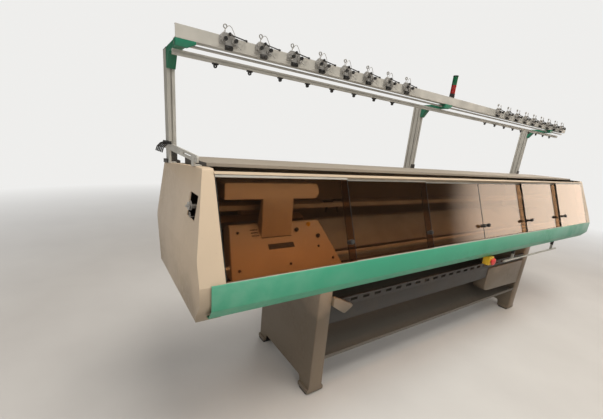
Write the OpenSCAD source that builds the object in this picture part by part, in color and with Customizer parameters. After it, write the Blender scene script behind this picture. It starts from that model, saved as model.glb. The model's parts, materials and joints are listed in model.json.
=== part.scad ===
// Flat-bed knitting machine with sliding smoked covers, a cam carriage, and a yarn creel on three posts.
// X runs along the needle beds, Y from the operator to the back, Z up from the floor.

/* [Body] */
// Width of the window that the six sliding covers close
window_w = 4016; // [3700:4:4300]
// Height of the front rail's top edge
rail_top_z = 994; // [960:1:1030]
// Height of the front rail's upright face
rail_h = 106; // [80:1:130]
// Depth of the bevel under the rail's face
bevel_depth = 40; // [20:1:60]
// Height of the bevel under the rail's face
bevel_h = 53; // [30:1:60]
// Thickness of the rail's folded sheet
rail_t = 3; // [2:0.5:5]
// How far the rail runs past the window at each end
rail_over = 60; // [20:1:80]
// Depth of the end covers from front to back at the top
body_back_y = 905; // [860:1:960]
// Height of the end covers' top face at the front
body_top_z = 1410; // [1390:1:1450]
// Height of the end covers' top face at the back
body_back_z = 1366; // [1350:1:1385]
// Distance of the top shelf's front edge from the front rail's face
shelf_y = 270; // [250:1:300]
// Depth of the top shelf
shelf_depth = 370; // [300:1:400]
// Height of the top shelf over the end covers' top face
shelf_h = 14; // [8:1:20]
// Height of the end covers' bottom edge
end_low_z = 815; // [780:1:830]
// Width of an end cover at its top
end_top_w = 44; // [30:1:60]
// Width of an end cover below its waist
end_w = 102; // [70:1:140]
// Height of the end covers' waist, where the flare ends
waist_z = 1075; // [1000:1:1150]
// Wall of the end covers
end_wall = 4; // [3:0.5:8]
// Thickness of the end frames' plate
frame_t = 12; // [8:1:20]
// Thickness of the rear panel and top shelf
panel_t = 2; // [1:0.5:4]

/* [Sliding covers] */
// Tilt of the covers from upright
cover_tilt = 21.6; // [18:0.1:25]
// Length of a cover up its slope, with its strip
cover_len = 432; // [400:1:440]
// Thickness of the smoked sheet
cover_t = 4; // [3:0.5:6]
// How far neighbouring covers pass over each other
cover_lap = 15; // [8:1:25]
// Distance between the tracks
track_step = 22; // [18:1:26]
// Height of the strip along a cover's top edge
strip_h = 10; // [8:1:20]
// Thickness of that strip
strip_t = 9; // [7:0.5:11]
// Diameter of a cover's knob
knob_d = 26; // [18:1:34]
// How far a knob stands out of its cover
knob_len = 34; // [20:1:45]
// Distance of a knob from the nearest edge line
knob_in = 30; // [24:1:60]
// Height of the knobs up the slope
knob_u = 106; // [80:1:200]
// Clearance of a cover in its groove
groove_gap = 0.5; // [0.3:0.1:1]

/* [Needle beds] */
// Working width of the needle beds
bed_w = 2540; // [2400:10:2600]
// Distance between two needles
needle_pitch = 12.7; // [10:0.1:20]
// Slope of the beds
bed_angle = 46; // [42:1:50]
// Length of a bed down its slope
bed_len = 235; // [200:1:245]
// Thickness of a bed
bed_t = 26; // [18:1:32]
// Depth of the tricks that hold the needles
trick_depth = 7; // [5:0.5:9]
// Width of a trick
trick_w = 5; // [4:0.5:7]
// Thickness of a needle
needle_t = 2; // [1:0.2:3]
// Gap between the two beds at the top
throat_gap = 8; // [4:1:16]
// Distance of the throat from the front rail's face
throat_y = 465; // [440:1:490]
// Height of the throat
throat_z = 1120; // [1100:1:1135]
// Wall of the cast beam under the beds
beam_wall = 14; // [8:1:24]
// Width of the slot that the fabric falls through
beam_slot = 40; // [20:1:60]
// Distance of the beam's outer face from the throat
beam_reach = 265; // [255:1:280]
// Height of the beam's bottom face
beam_low_z = 850; // [840:1:865]
// Height of the ledge that carries a guide rail
ledge_z = 905; // [895:1:910]

/* [Carriage] */
// Width of a cam housing at its lower edge
housing_w = 640; // [560:1:660]
// Width of a cam housing at its upper edge
housing_top_w = 534; // [460:1:560]
// Height of the housings' lower edge
housing_low_z = 918; // [914:1:924]
// Height of the housings' upper edge
housing_top_z = 1120; // [1100:1:1135]
// Distance of the housings' outer face from the bed
housing_h = 76; // [70:1:84]
// Wall of the housings, bow and crossbar
housing_wall = 4; // [3:0.5:6]
// Gap between the housings and the beds
bed_clear = 12; // [8:1:16]
// Width of the bow
bow_w = 175; // [120:1:240]
// Length of the crossbar
crossbar_w = 526; // [420:1:600]
// Height of the crossbar's lower face
crossbar_low_z = 1260; // [1250:1:1275]
// Height of the crossbar
crossbar_h = 75; // [60:1:80]
// Distance of the crossbar's front face from the throat
crossbar_reach = 160; // [140:1:180]
// Diameter of the guide rails
guide_d = 30; // [20:1:34]
// Radial running clearance of the bearings on the guide rails
guide_gap = 0.05; // [0.02:0.01:0.1]
// Distance of the guide rails from the throat
guide_reach = 233; // [228:1:238]
// Height of the guide rails
guide_z = 948; // [944:1:952]
// Length of a bearing
bearing_len = 90; // [60:1:120]
// Number of yarn rails
yarn_rail_n = 4; // [2:2:6]
// Distance between the yarn rails
yarn_rail_step = 34; // [28:1:40]
// Height of the yarn rails
yarn_rail_z = 1196; // [1186:1:1206]

/* [Pedestals] */
// Distance between the pedestals' inner faces
leg_span = 2542; // [2300:2:2700]
// Width of a pedestal
leg_w = 97; // [80:1:140]
// Distance of a pedestal's front face from the front rail's face
leg_front_y = 223; // [200:1:250]
// Depth of a pedestal
leg_depth = 707; // [640:1:760]
// Wall of a pedestal
leg_wall = 8; // [5:1:14]
// Length of a pedestal's front foot
foot_len = 108; // [90:1:140]
// Width of the feet
foot_w = 124; // [110:1:160]
// Height of the feet
foot_h = 26; // [16:1:40]
// Height of the arch between the feet
arch_h = 60; // [40:1:90]
// Height of the levelling pads
pad_h = 12; // [8:1:20]

/* [Take-down] */
// Diameter of the take-down roller
roller_d = 90; // [70:1:110]
// Diameter of the pressure roller
press_d = 60; // [50:1:70]
// Gap between the two rollers
nip_gap = 1; // [0.5:0.5:3]
// Height of both rollers' axes
roller_z = 720; // [700:1:760]
// Diameter of the rollers' journals
journal_d = 25; // [18:1:30]
// Radial running clearance of the journals and of the start bar's pins
journal_gap = 0.05; // [0.02:0.01:0.1]
// Height of the guard's lower edge
guard_z = 596; // [560:1:610]
// Height of the guard
guard_h = 54; // [40:1:70]
// Number of slots in the guard
guard_slots = 24; // [12:1:30]
// Height of the fabric tray's front lip
tray_z = 248; // [200:1:300]
// Depth of the fabric tray
tray_depth = 540; // [480:1:580]
// Height of the tray's back edge over its front lip
tray_rise = 400; // [340:1:440]
// Length of the drive box beside the right pedestal
drive_w = 510; // [400:1:640]
// Depth of the drive box
drive_depth = 190; // [140:1:210]
// Height of the drive box's lower edge
drive_low_z = 350; // [345:1:400]
// Height of the drive box
drive_h = 232; // [180:1:240]

/* [Controls] */
// Left end of the start bar
bar_x0 = 400; // [300:1:600]
// Length of the start bar
bar_len = 1070; // [800:1:1300]
// Diameter of the start bar
bar_d = 16; // [12:1:20]
// Height of the start bar
bar_z = 747; // [740:1:760]
// Place of the emergency stop along the rail
estop_x = 94; // [0:1:300]
// Width of the emergency stop box
estop_w = 64; // [50:1:80]
// Diameter of the emergency stop button
estop_d = 44; // [36:1:50]

/* [Creel] */
// Distance from the middle post to each outer post
post_pitch = 2030; // [1900:1:2030]
// Width of a post
post_w = 40; // [30:1:50]
// Depth of a post
post_depth = 80; // [60:1:90]
// Distance of the posts' back faces from the end covers' back edge
post_inset = 9; // [4:1:20]
// Height of the posts' tops
post_top_z = 1936; // [1800:1:2000]
// Length of the creel arms
arm_len = 222; // [190:1:240]
// Width of a creel arm
arm_w = 44; // [36:1:50]
// Thickness of a creel arm
arm_t = 33; // [30:1:44]
// How far a creel arm's gusset comes down the post
gusset_h = 62; // [40:1:100]
// Height of the creel rail
creel_rail_h = 55; // [40:1:70]
// How far the creel rail runs past the left post
creel_left = 22; // [20:1:60]
// How far the creel rail runs past the right post
creel_right = 400; // [60:1:500]
// Height of the eyelet bar
eyelet_bar_h = 23; // [16:1:30]
// Depth of the eyelet bar
eyelet_bar_t = 20; // [14:1:26]
// Diameter of the guide rod through the arms
rod_d = 12; // [8:1:14]
// Distance between two tensioners
tensioner_pitch = 186; // [150:1:220]
// Number of tensioners on the left half
tensioner_left_n = 8; // [4:1:9]
// Number of tensioners on the right half
tensioner_right_n = 9; // [4:1:10]
// Height of a tensioner
tensioner_h = 92; // [70:1:110]
// Diameter of the signal lamp
lamp_d = 40; // [30:1:50]
// Height of each lens of the signal lamp
lens_h = 62; // [40:1:80]

/* [Side tensioner] */
// Distance of the cut-out in the left end cover from the front rail's face
side_cut_y = 165; // [160:1:260]
// Length of that cut-out
side_cut_w = 115; // [90:1:150]
// Height of the cut-out's lower edge
side_cut_z = 1205; // [1170:1:1220]
// Height of the cut-out
side_cut_h = 100; // [80:1:130]
// Height of the side bar on the left end
side_bar_h = 27; // [20:1:40]
// How far the side bar rises towards the back
side_bar_rise = 24; // [10:1:40]

/* [Hidden] */
$fn = 48;

// Gap kept between pieces that move against each other
run_gap = 0.3;
// Half of the window, and the outer faces of the end covers
half_w = window_w / 2;
end_x = half_w + end_w;
cover_pitch = window_w / 6;
// Foot of the covers' slope, just behind the rail's top edge
rail_lip = 6;
foot_z = rail_top_z - 8;
foot_y = rail_lip + 4.5;
comb_wall = 5;
comb_base = 5;
comb_rise = 8;
tongue_t = 3;
tongue_h = 8;
last_track = 2 * track_step + cover_t + comb_wall;
shelf_z = body_top_z + shelf_h;
shelf_back_y = shelf_y + shelf_depth;
top_bend_y = shelf_y - 30;
post_y = body_back_y - post_inset - post_depth;
pedestal_x = leg_span / 2 + leg_w / 2;
leg_back_y = leg_front_y + leg_depth;
rail_low_z = rail_top_z - rail_h - bevel_h;
bed_edge_y = throat_y - throat_gap / 2;
housing_mid_x = -half_w + 402;
arm_y = post_y - arm_len;
arm_low_z = post_top_z - arm_t;
creel_x0 = -post_pitch - creel_left;
creel_x1 = post_pitch + creel_right;
estop_front_y = -12;
// Middle of the whole machine's reach along X and Y, which stands over the origin
mid_x = (creel_x1 - end_x) / 2;
mid_y = (estop_front_y + leg_back_y) / 2;

paint_beige = [0.72, 0.66, 0.57];
paint_green = [0.20, 0.50, 0.38];
paint_grey = [0.78, 0.78, 0.76];
smoked = [0.35, 0.22, 0.15, 0.6];
aluminium = [0.75, 0.75, 0.73];
steel = [0.62, 0.63, 0.65];
cast_dark = [0.25, 0.26, 0.27];
black = [0.08, 0.08, 0.08];

// Direction from a to b, as a unit vector
function toward(a, b) = (b - a) / norm(b - a);
function flat(p) = [p[0], p[1]];

// Points of the arc of radius b[2] that rounds the corner b between a and c
function corner(a, b, c, n) =
    b[2] == 0 ? [flat(b)] :
    let (u = toward(flat(b), flat(a)), v = toward(flat(b), flat(c)), half = acos(u * v) / 2,
        mid = flat(b) + toward([0, 0], u + v) * b[2] / sin(half),
        p = flat(b) + u * b[2] / tan(half) - mid, q = flat(b) + v * b[2] / tan(half) - mid,
        start = atan2(p[1], p[0]), turn = atan2(p[0] * q[1] - p[1] * q[0], p * q))
    [for (k = [0 : n]) mid + b[2] * [cos(start + turn * k / n), sin(start + turn * k / n)]];

// Outline with rounded corners: each point is [x, y, radius]
function rounded(pts, n = 6) =
    let (m = len(pts))
    [for (i = [0 : m - 1]) each corner(pts[(i + m - 1) % m], pts[i], pts[(i + 1) % m], n)];

// Point of an open path moved sideways by w
function shifted(path, i, w) =
    let (m = len(path),
        u = i == 0 ? toward(path[0], path[1]) : toward(path[i - 1], path[i]),
        v = i == m - 1 ? u : toward(path[i], path[i + 1]),
        side = [-u[1] - v[1], u[0] + v[0]],
        unit = side / norm(side))
    path[i] + unit * w / (unit * [-u[1], u[0]]);

// Outline of a folded sheet of thickness t along an open path
function sheet(path, t) =
    concat(path, [for (i = [len(path) - 1 : -1 : 0]) shifted(path, i, t)]);

// Point of the covers' slope: u up the slope, n inward from the outermost cover's face
function slope(u, n) = [
    foot_y + u * sin(cover_tilt) + n * cos(cover_tilt),
    foot_z + u * cos(cover_tilt) - n * sin(cover_tilt)];

// Height, and depth, of the line at distance n above the front bed's face
function bed_z(y, n) =
    throat_z + n * cos(bed_angle) + (y - bed_edge_y + n * sin(bed_angle)) * tan(bed_angle);
function bed_y(z, n) =
    bed_edge_y - n * sin(bed_angle) + (z - throat_z - n * cos(bed_angle)) / tan(bed_angle);

// Height of the end covers' top face at depth y, behind its bend
function top_line(y) =
    body_top_z - (y - top_bend_y) * (body_top_z - body_back_z) / (body_back_y - top_bend_y);

module placed() {
    translate([-mid_x, -mid_y, 0]) children();
}

// Extrudes a Y-Z outline along X
module along_x(x0, x1) {
    translate([x0, 0, 0]) rotate([90, 0, 90]) linear_extrude(height = x1 - x0) children();
}

// Extrudes an X-Z outline along Y
module along_y(y0, y1) {
    translate([0, y1, 0]) rotate([90, 0, 0]) linear_extrude(height = y1 - y0) children();
}

module block(x0, x1, y0, y1, z0, z1) {
    translate([x0, y0, z0]) cube([x1 - x0, y1 - y0, z1 - z0]);
}

module rod_x(x0, x1, y, z, d) {
    translate([x0, y, z]) rotate([0, 90, 0]) cylinder(h = x1 - x0, d = d);
}

module both_beds() {
    children();
    translate([0, 2 * throat_y, 0]) mirror([0, 1, 0]) children();
}

module both_ends() {
    children();
    mirror([1, 0, 0]) children();
}

// Frame of the covers' slope: Z up the slope, Y inward
module on_slope(x, u, n) {
    translate([x, slope(u, n)[0], slope(u, n)[1]]) rotate([-cover_tilt, 0, 0]) children();
}

// Frame of the front bed: Y up the slope to the throat, Z out of the bed
module on_bed() {
    translate([0, bed_edge_y, throat_z]) rotate([bed_angle, 0, 0]) children();
}

module pedestal(x) {
    arch_y0 = leg_front_y + foot_len;
    arch_y1 = leg_back_y - foot_len * 0.8;
    side = rounded([
        [leg_front_y, pad_h, 0], [arch_y0, pad_h, 0], [arch_y0 + 14, pad_h + arch_h, 20],
        [arch_y1 - 14, pad_h + arch_h, 20], [arch_y1, pad_h, 0], [leg_back_y, pad_h, 0],
        [leg_back_y, beam_low_z, 0], [leg_front_y, beam_low_z, 0]]);
    translate([x, 0, 0]) difference() {
        union() {
            along_x(-leg_w / 2, leg_w / 2) polygon(side);
            block(-foot_w / 2, foot_w / 2, leg_front_y, arch_y0, pad_h, pad_h + foot_h);
            block(-foot_w / 2, foot_w / 2, arch_y1, leg_back_y, pad_h, pad_h + foot_h);
        }
        block(-leg_w / 2 + leg_wall, leg_w / 2 - leg_wall, leg_front_y + leg_wall, leg_back_y - leg_wall,
            pad_h - 1, beam_low_z - leg_wall);
    }
}

module left_pedestal() {
    color(paint_beige) placed() pedestal(-pedestal_x);
}

module right_pedestal() {
    color(paint_beige) placed() pedestal(pedestal_x);
}

module levelling_pads() {
    pad_len = foot_len * 0.8;
    color(black) placed() both_ends()
        for (y = [leg_front_y + foot_len / 2, leg_back_y - foot_len * 0.4])
            translate([pedestal_x, y, 0]) linear_extrude(height = pad_h)
                polygon(rounded([
                    [-foot_w / 2, -pad_len / 2, 12], [foot_w / 2, -pad_len / 2, 12],
                    [foot_w / 2, pad_len / 2, 12], [-foot_w / 2, pad_len / 2, 12]]));
}

module beam_half() {
    y0 = throat_y - beam_reach;
    y1 = throat_y - beam_slot / 2;
    y2 = bed_edge_y - bed_len * cos(bed_angle) + bed_t * sin(bed_angle);
    under = -bed_t;
    inner = -bed_t - beam_wall;
    difference() {
        along_x(-half_w + frame_t, half_w - frame_t) polygon([
            [y0, beam_low_z], [y1, beam_low_z], [y1, bed_z(y1, under)], [y2, bed_z(y2, under)],
            [y2, ledge_z], [y0, ledge_z]]);
        along_x(-half_w + frame_t + beam_wall, half_w - frame_t - beam_wall) polygon([
            [y0 + beam_wall, beam_low_z - 1], [y1 - beam_wall, beam_low_z - 1],
            [y1 - beam_wall, bed_z(y1 - beam_wall, inner)],
            [bed_y(ledge_z - beam_wall, inner), ledge_z - beam_wall],
            [y0 + beam_wall, ledge_z - beam_wall]]);
    }
}

module bed_beam() {
    rib_n = 6;
    color(cast_dark) placed() {
        both_beds() beam_half();
        for (i = [0 : rib_n])
            translate([(i / rib_n - 0.5) * (window_w - 2 * frame_t - beam_wall), throat_y, 0])
                block(-beam_wall / 2, beam_wall / 2, -beam_slot / 2, beam_slot / 2,
                    beam_low_z, beam_low_z + 60);
    }
}

// Y-Z outline of the end covers, front edge first
function end_profile(w) = rounded([
    [bevel_depth + 28 + w, end_low_z + (w > 0 ? -2 : 0), 0],
    [body_back_y - 80 - w, end_low_z + (w > 0 ? -2 : 0), 0],
    [body_back_y - 10 - w, end_low_z + 245, 60],
    [body_back_y - w, body_back_z - w, 14],
    [top_bend_y, body_top_z - w, 0],
    [slope((body_top_z - foot_z) / cos(cover_tilt), w)[0], body_top_z - w, 14],
    [slope(0, w)[0], foot_z, 12],
    [foot_y + w, rail_top_z - rail_h + 20, 0],
    [bevel_depth + 28 + w, rail_low_z + 8, 0]]);

// X-Z outline of the end covers, measured outward from the window
function flare_profile(w) = rounded([
    [w > 0 ? -1 : 0, end_low_z - (w > 0 ? 3 : 0), 0],
    [end_w - w, end_low_z - (w > 0 ? 3 : 0), 0],
    [end_w - w, waist_z, 300],
    [end_top_w - w, body_top_z - w, w > 0 ? 0 : 8],
    [w > 0 ? -1 : 0, body_top_z - w, 0]]);

module end_cover() {
    difference() {
        intersection() {
            along_x(half_w, end_x) polygon(end_profile(0));
            along_y(foot_y - 50, body_back_y + 50) translate([half_w, 0]) polygon(flare_profile(0));
        }
        intersection() {
            along_x(half_w - 1, end_x) polygon(end_profile(end_wall));
            along_y(foot_y - 50, body_back_y + 50) translate([half_w, 0]) polygon(flare_profile(end_wall));
        }
    }
}

module left_end_cover() {
    color(paint_beige) placed() difference() {
        mirror([1, 0, 0]) end_cover();
        block(-end_x - 1, -half_w - end_top_w - end_wall, side_cut_y, side_cut_y + side_cut_w,
            side_cut_z, side_cut_z + side_cut_h);
    }
}

module right_end_cover() {
    color(paint_beige) placed() end_cover();
}

// Y-Z lines of the outer faces of the rear panel and of the top shelf with the deck behind it
rear_path = [
    [body_back_y - panel_t, body_back_z - panel_t - 0.3], [body_back_y - 10 - panel_t, end_low_z + 245],
    [body_back_y - 68, beam_low_z + 10]];
shelf_path = [
    [shelf_y, body_top_z], [shelf_y, shelf_z], [shelf_back_y, shelf_z],
    [shelf_back_y, top_line(shelf_back_y)], [body_back_y, body_back_z]];

module end_frames() {
    inset = last_track + 4;
    under = 3 * panel_t;
    front_low = slope(0, inset);
    front_high = slope((body_top_z - end_wall - foot_z + inset * sin(cover_tilt)) / cos(cover_tilt), inset);
    color(cast_dark) placed() both_ends() along_x(half_w - frame_t, half_w) polygon([
        [front_low[0], beam_low_z], [body_back_y - 74, beam_low_z],
        shifted(rear_path, 1, -panel_t),
        [body_back_y - 2 * panel_t - 0.3, body_back_z - under],
        [shelf_back_y - panel_t, top_line(shelf_back_y) - under], [shelf_back_y - panel_t, shelf_z - panel_t],
        [shelf_y + panel_t, shelf_z - panel_t], [shelf_y + panel_t, body_top_z],
        [front_high[0], body_top_z], front_high, front_low]);
}

module guide_rails() {
    web = 10;
    color(steel) placed() both_beds() {
        rod_x(-half_w + frame_t, half_w - frame_t, throat_y - guide_reach, guide_z, guide_d);
        block(-half_w + frame_t, half_w - frame_t, throat_y - guide_reach - web / 2,
            throat_y - guide_reach + web / 2, ledge_z, guide_z - guide_d / 2 + 1.5);
    }
}

module front_rail() {
    color(paint_green) placed() along_x(-half_w - rail_over, half_w + rail_over) polygon(sheet([
        [rail_lip, rail_top_z], [0, rail_top_z], [0, rail_top_z - rail_h],
        [bevel_depth, rail_low_z], [bevel_depth + 24, rail_low_z]], rail_t));
}

// Underside of the lower track at depth y
function track_under_z(y) = slope(-comb_base, 0)[1] - (y - slope(-comb_base, 0)[0]) * tan(cover_tilt);

module rail_brackets() {
    plate = 8;
    web_y = rail_t + comb_wall;
    bracket_n = 6;
    color(cast_dark) placed() {
        for (i = [0 : bracket_n])
            translate([(i / bracket_n - 0.5) * (window_w - 2 * frame_t - plate), 0, 0])
                along_x(-plate / 2, plate / 2) polygon([
                    [web_y, rail_low_z + bevel_h], [throat_y - beam_reach, beam_low_z + 2],
                    [throat_y - beam_reach, ledge_z - 5], [75, ledge_z],
                    [50, track_under_z(50) - 6], [web_y, track_under_z(web_y) - 6]]);
        start_bar_hangers();
    }
}

// Pivot of the start bar's arms
pivot_y = bevel_depth + 12;
pivot_z = rail_low_z - 24;
pivot_d = 10;
hanger_x = [bar_x0 + bar_len * 0.12, bar_x0 + bar_len * 0.88];

module start_bar_hangers() {
    for (x = hanger_x) {
        block(x - 3, x + 3, bevel_depth, bevel_depth + 24, pivot_z - 12, rail_low_z);
        rod_x(x + 3, x + 17, pivot_y, pivot_z, pivot_d);
    }
}

module start_bar() {
    arm_y0 = pivot_y - 9;
    color(aluminium) placed() {
        rod_x(bar_x0, bar_x0 + bar_len, 50, bar_z, bar_d);
        for (x = hanger_x) difference() {
            block(x + 3 + run_gap, x + 13, arm_y0, arm_y0 + 18, bar_z, pivot_z + 11);
            rod_x(x, x + 20, pivot_y, pivot_z, pivot_d + 2 * journal_gap);
        }
    }
}

module rear_panel() {
    color(paint_grey) placed() along_x(-half_w, half_w) polygon(sheet(rear_path, -panel_t));
}

module top_shelf() {
    color(paint_grey) placed() along_x(-half_w, half_w) polygon(sheet(shelf_path, -panel_t));
}

// Comb of three grooves in the slope's own plane: 2D x is n, 2D y is u
module track_comb(base_u, rise, groove_t) {
    difference() {
        translate([-comb_wall, min(base_u, base_u + rise)])
            square([last_track + comb_wall, abs(rise)]);
        for (k = [0 : 2])
            translate([k * track_step + (cover_t - groove_t) / 2 - groove_gap, base_u + sign(rise) * comb_base])
                mirror([0, rise < 0 ? 1 : 0]) square([groove_t + 2 * groove_gap, abs(rise)]);
    }
}

// Turns a slope outline into Y-Z
module slope_outline() {
    translate(slope(0, 0)) rotate([0, 0, -cover_tilt]) children();
}

module lower_cover_track() {
    color(aluminium) placed() along_x(-half_w, half_w) {
        slope_outline() track_comb(-comb_base - run_gap, comb_base + comb_rise, cover_t);
        translate([rail_t, rail_top_z - rail_h + 12]) square([comb_wall, rail_h - 24]);
    }
}

// The base reaches back to the end frames, which carry it
module upper_cover_track() {
    base_u = cover_len + tongue_h + run_gap;
    color(paint_beige) placed() along_x(-half_w, half_w) slope_outline() {
        track_comb(base_u + comb_base, -tongue_h - comb_base + 1, tongue_t);
        translate([last_track - 1, base_u]) square([5, comb_base]);
    }
}

function trick_count() = floor(bed_w / needle_pitch);

// Section across a bed: tricks cut in the face, a needle in each
function bed_section() =
    let (first = -(trick_count() - 1) / 2 * needle_pitch, rest = 2.5)
    concat([[-bed_w / 2, -bed_t], [-bed_w / 2, 0]],
        [for (i = [0 : trick_count() - 1]) let (x = first + i * needle_pitch) each [
            [x - trick_w / 2, 0], [x - trick_w / 2, -trick_depth], [x - needle_t / 2, -trick_depth],
            [x - needle_t / 2, -rest], [x + needle_t / 2, -rest], [x + needle_t / 2, -trick_depth],
            [x + trick_w / 2, -trick_depth], [x + trick_w / 2, 0]]],
        [[bed_w / 2, 0], [bed_w / 2, -bed_t]]);

// The bed starts where its underside meets the throat's upright face
module needle_bed() {
    top = bed_t * tan(bed_angle);
    translate([0, -top, 0]) rotate([90, 0, 0]) linear_extrude(height = bed_len - top) polygon(bed_section());
}

module front_needle_bed() {
    color(steel) placed() on_bed() needle_bed();
}

module rear_needle_bed() {
    color(steel) placed() translate([0, 2 * throat_y, 0]) mirror([0, 1, 0]) on_bed()
        translate([0, 0, run_gap]) needle_bed();
}

// Y-Z outline of a cam housing, and of the hollow inside its wall w
function housing_outline(w) =
    let (n = housing_h - w, low = bed_clear - w / 2, z0 = housing_low_z - w, z1 = housing_top_z - 20 - w)
    [[bed_y(z0, n), z0], [bed_y(z0, low), z0], [bed_y(z1, low), z1],
     [bed_y(housing_top_z, housing_h) + 22, housing_top_z - w], [bed_y(housing_top_z - w, n), housing_top_z - w]];

module housing_block(w) {
    z0 = housing_low_z - w - 1;
    z1 = housing_top_z + 1;
    grow = (housing_w - housing_top_w) / 2;
    intersection() {
        along_x(-housing_w, housing_w) polygon(housing_outline(w));
        along_y(0, 2 * throat_y) polygon([
            [-housing_w / 2 + w, z0], [housing_w / 2 - w, z0],
            [housing_w / 2 - grow - w, z1], [-housing_w / 2 + grow + w, z1]]);
    }
}

// The end walls clear the guide rail and its web
module cam_housing() {
    rail_y = throat_y - guide_reach;
    clear = 4;
    translate([housing_mid_x, 0, 0]) difference() {
        housing_block(0);
        housing_block(housing_wall);
        rod_x(-housing_w, housing_w, rail_y, guide_z, guide_d + 2 * clear);
        block(-housing_w, housing_w, rail_y - 9, rail_y + 9, housing_low_z - 2, guide_z);
    }
}

module front_cam_housing() {
    color(paint_beige) placed() cam_housing();
}

module rear_cam_housing() {
    color(paint_beige) placed() translate([0, 2 * throat_y, 0]) mirror([0, 1, 0]) cam_housing();
}

module carriage_bearings() {
    r = guide_d / 2 + 9;
    color(steel) placed() both_beds()
        for (x = [housing_mid_x - housing_w / 3, housing_mid_x + housing_w / 3 - bearing_len])
            difference() {
                union() {
                    rod_x(x, x + bearing_len, throat_y - guide_reach, guide_z, 2 * r);
                    along_x(x, x + bearing_len) polygon([
                        [throat_y - guide_reach - r * sin(bed_angle), guide_z + r * cos(bed_angle)],
                        [throat_y - guide_reach + r * cos(bed_angle), guide_z + r * sin(bed_angle)],
                        [bed_y(guide_z + 2.5 * r, housing_h - housing_wall), guide_z + 2.5 * r],
                        [bed_y(guide_z + r / 2, housing_h - housing_wall), guide_z + r / 2]]);
                }
                rod_x(x - 1, x + bearing_len + 1, throat_y - guide_reach, guide_z, guide_d + 2 * guide_gap);
                block(x - 1, x + bearing_len + 1, throat_y - guide_reach - 8, throat_y - guide_reach + 8,
                    guide_z - r - 1, guide_z);
            }
}

module carriage_bow() {
    foot_top = housing_top_z - 55;
    y0 = throat_y - crossbar_reach;
    depth = 26;
    n = housing_h;
    front = [[bed_y(foot_top, n), foot_top], [y0, crossbar_low_z - 30],
        [y0, crossbar_low_z], [y0 + depth, crossbar_low_z], [y0 + depth, crossbar_low_z - 40],
        [bed_y(housing_top_z, n), housing_top_z]];
    color(paint_beige) placed() both_beds()
        along_x(housing_mid_x - bow_w / 2 - 29, housing_mid_x + bow_w / 2 - 29) polygon(front);
}

module carriage_crossbar() {
    x0 = housing_mid_x - crossbar_w / 2 - 47;
    x1 = x0 + crossbar_w;
    z0 = crossbar_low_z;
    z1 = crossbar_low_z + crossbar_h;
    y0 = throat_y - crossbar_reach;
    y1 = throat_y + crossbar_reach;
    cut = 18;
    color(paint_beige) placed() difference() {
        along_y(y0, y1) polygon(rounded([
            [x0, z0, 0], [x1 - cut, z0, 6], [x1, z0 + crossbar_h * 0.4, 10], [x1 - cut, z1, 10], [x0, z1, 8]]));
        block(x0 + housing_wall, x1 - cut - housing_wall, y0 + housing_wall + 30, y1 - housing_wall - 30,
            z0 - 1, z1 - housing_wall);
    }
}

module carriage_lamp() {
    x = housing_mid_x + housing_top_w / 2 - 80;
    color([0.95, 0.75, 0.15]) placed() translate([x, bed_y(housing_top_z - 16, housing_h), housing_top_z - 16])
        rotate([bed_angle, 0, 0]) {
            cylinder(h = 6, d = 24);
            translate([0, 0, 6]) cylinder(h = 12, d1 = 18, d2 = 12);
        }
}

module yarn_rails() {
    bar_w = 8;
    bar_h = 26;
    color(steel) placed() for (i = [0 : yarn_rail_n - 1])
        block(-half_w + frame_t, half_w - frame_t,
            yarn_rail_y(i) - bar_w / 2, yarn_rail_y(i) + bar_w / 2,
            yarn_rail_z - bar_h / 2, yarn_rail_z + bar_h / 2);
}

function yarn_rail_y(i) = throat_y + (i - (yarn_rail_n - 1) / 2) * yarn_rail_step;

// Slider over yarn rail i, with its feeder arm down to the throat
module yarn_carrier(i, x) {
    y = yarn_rail_y(i);
    play = 0.3;
    half_y = 4 + play;
    half_z = 13 + play;
    tip_y = throat_y + (throat_y > y ? -2.5 : 2.5);
    color(cast_dark) placed() {
        difference() {
            block(x - 35, x + 35, y - half_y - 5, y + half_y + 5, yarn_rail_z - half_z - 6, yarn_rail_z + half_z + 6);
            block(x - 36, x + 36, y - half_y, y + half_y, yarn_rail_z - half_z, yarn_rail_z + half_z);
        }
        along_x(x - 8, x + 8) polygon([
            [y - 4, yarn_rail_z - half_z - 6], [y + 4, yarn_rail_z - half_z - 6],
            [tip_y + 2, throat_z + 16], [tip_y - 2, throat_z + 16]]);
    }
}

module yarn_carrier_1() {
    yarn_carrier(1, -bed_w / 2 + 60);
}

module yarn_carrier_2() {
    yarn_carrier(2, -bed_w / 2 + 160);
}

plate_t = 12;
roller_y = throat_y + nip_gap / 2 + roller_d / 2;
press_y = throat_y - nip_gap / 2 - press_d / 2;

module roller(y, d) {
    x = leg_span / 2;
    rod_x(-x + plate_t + 2, x - plate_t - 2, y, roller_z, d);
    rod_x(-x + 1, x - 1, y, roller_z, journal_d);
}

module takedown_roller() {
    color(black) placed() roller(roller_y, roller_d);
}

module pressure_roller() {
    color(steel) placed() roller(press_y, press_d);
}

module roller_plates() {
    x = leg_span / 2;
    color(cast_dark) placed() both_ends() difference() {
        along_x(x - plate_t, x) polygon(rounded([
            [press_y - 45, roller_z - 50, 12], [roller_y + 45, roller_z - 50, 12],
            [roller_y + 45, roller_z + 50, 12], [press_y - 45, roller_z + 50, 12]]));
        for (y = [press_y, roller_y])
            rod_x(x - plate_t - 1, x + 1, y, roller_z, journal_d + 2 * journal_gap);
    }
}

module takedown_guard() {
    x = leg_span / 2;
    y = leg_front_y + 6;
    step = leg_span / guard_slots;
    color(cast_dark) placed() difference() {
        along_x(-x, x) polygon(sheet([
            [y + 20, guard_z], [y, guard_z], [y, guard_z + guard_h], [y + 20, guard_z + guard_h]], -panel_t));
        for (i = [0 : guard_slots - 1])
            translate([-x + (i + 0.5) * step, y - 1, guard_z + guard_h * 0.4])
                cube([step * 0.55, 2 * panel_t + 2, guard_h * 0.35]);
    }
}

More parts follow.
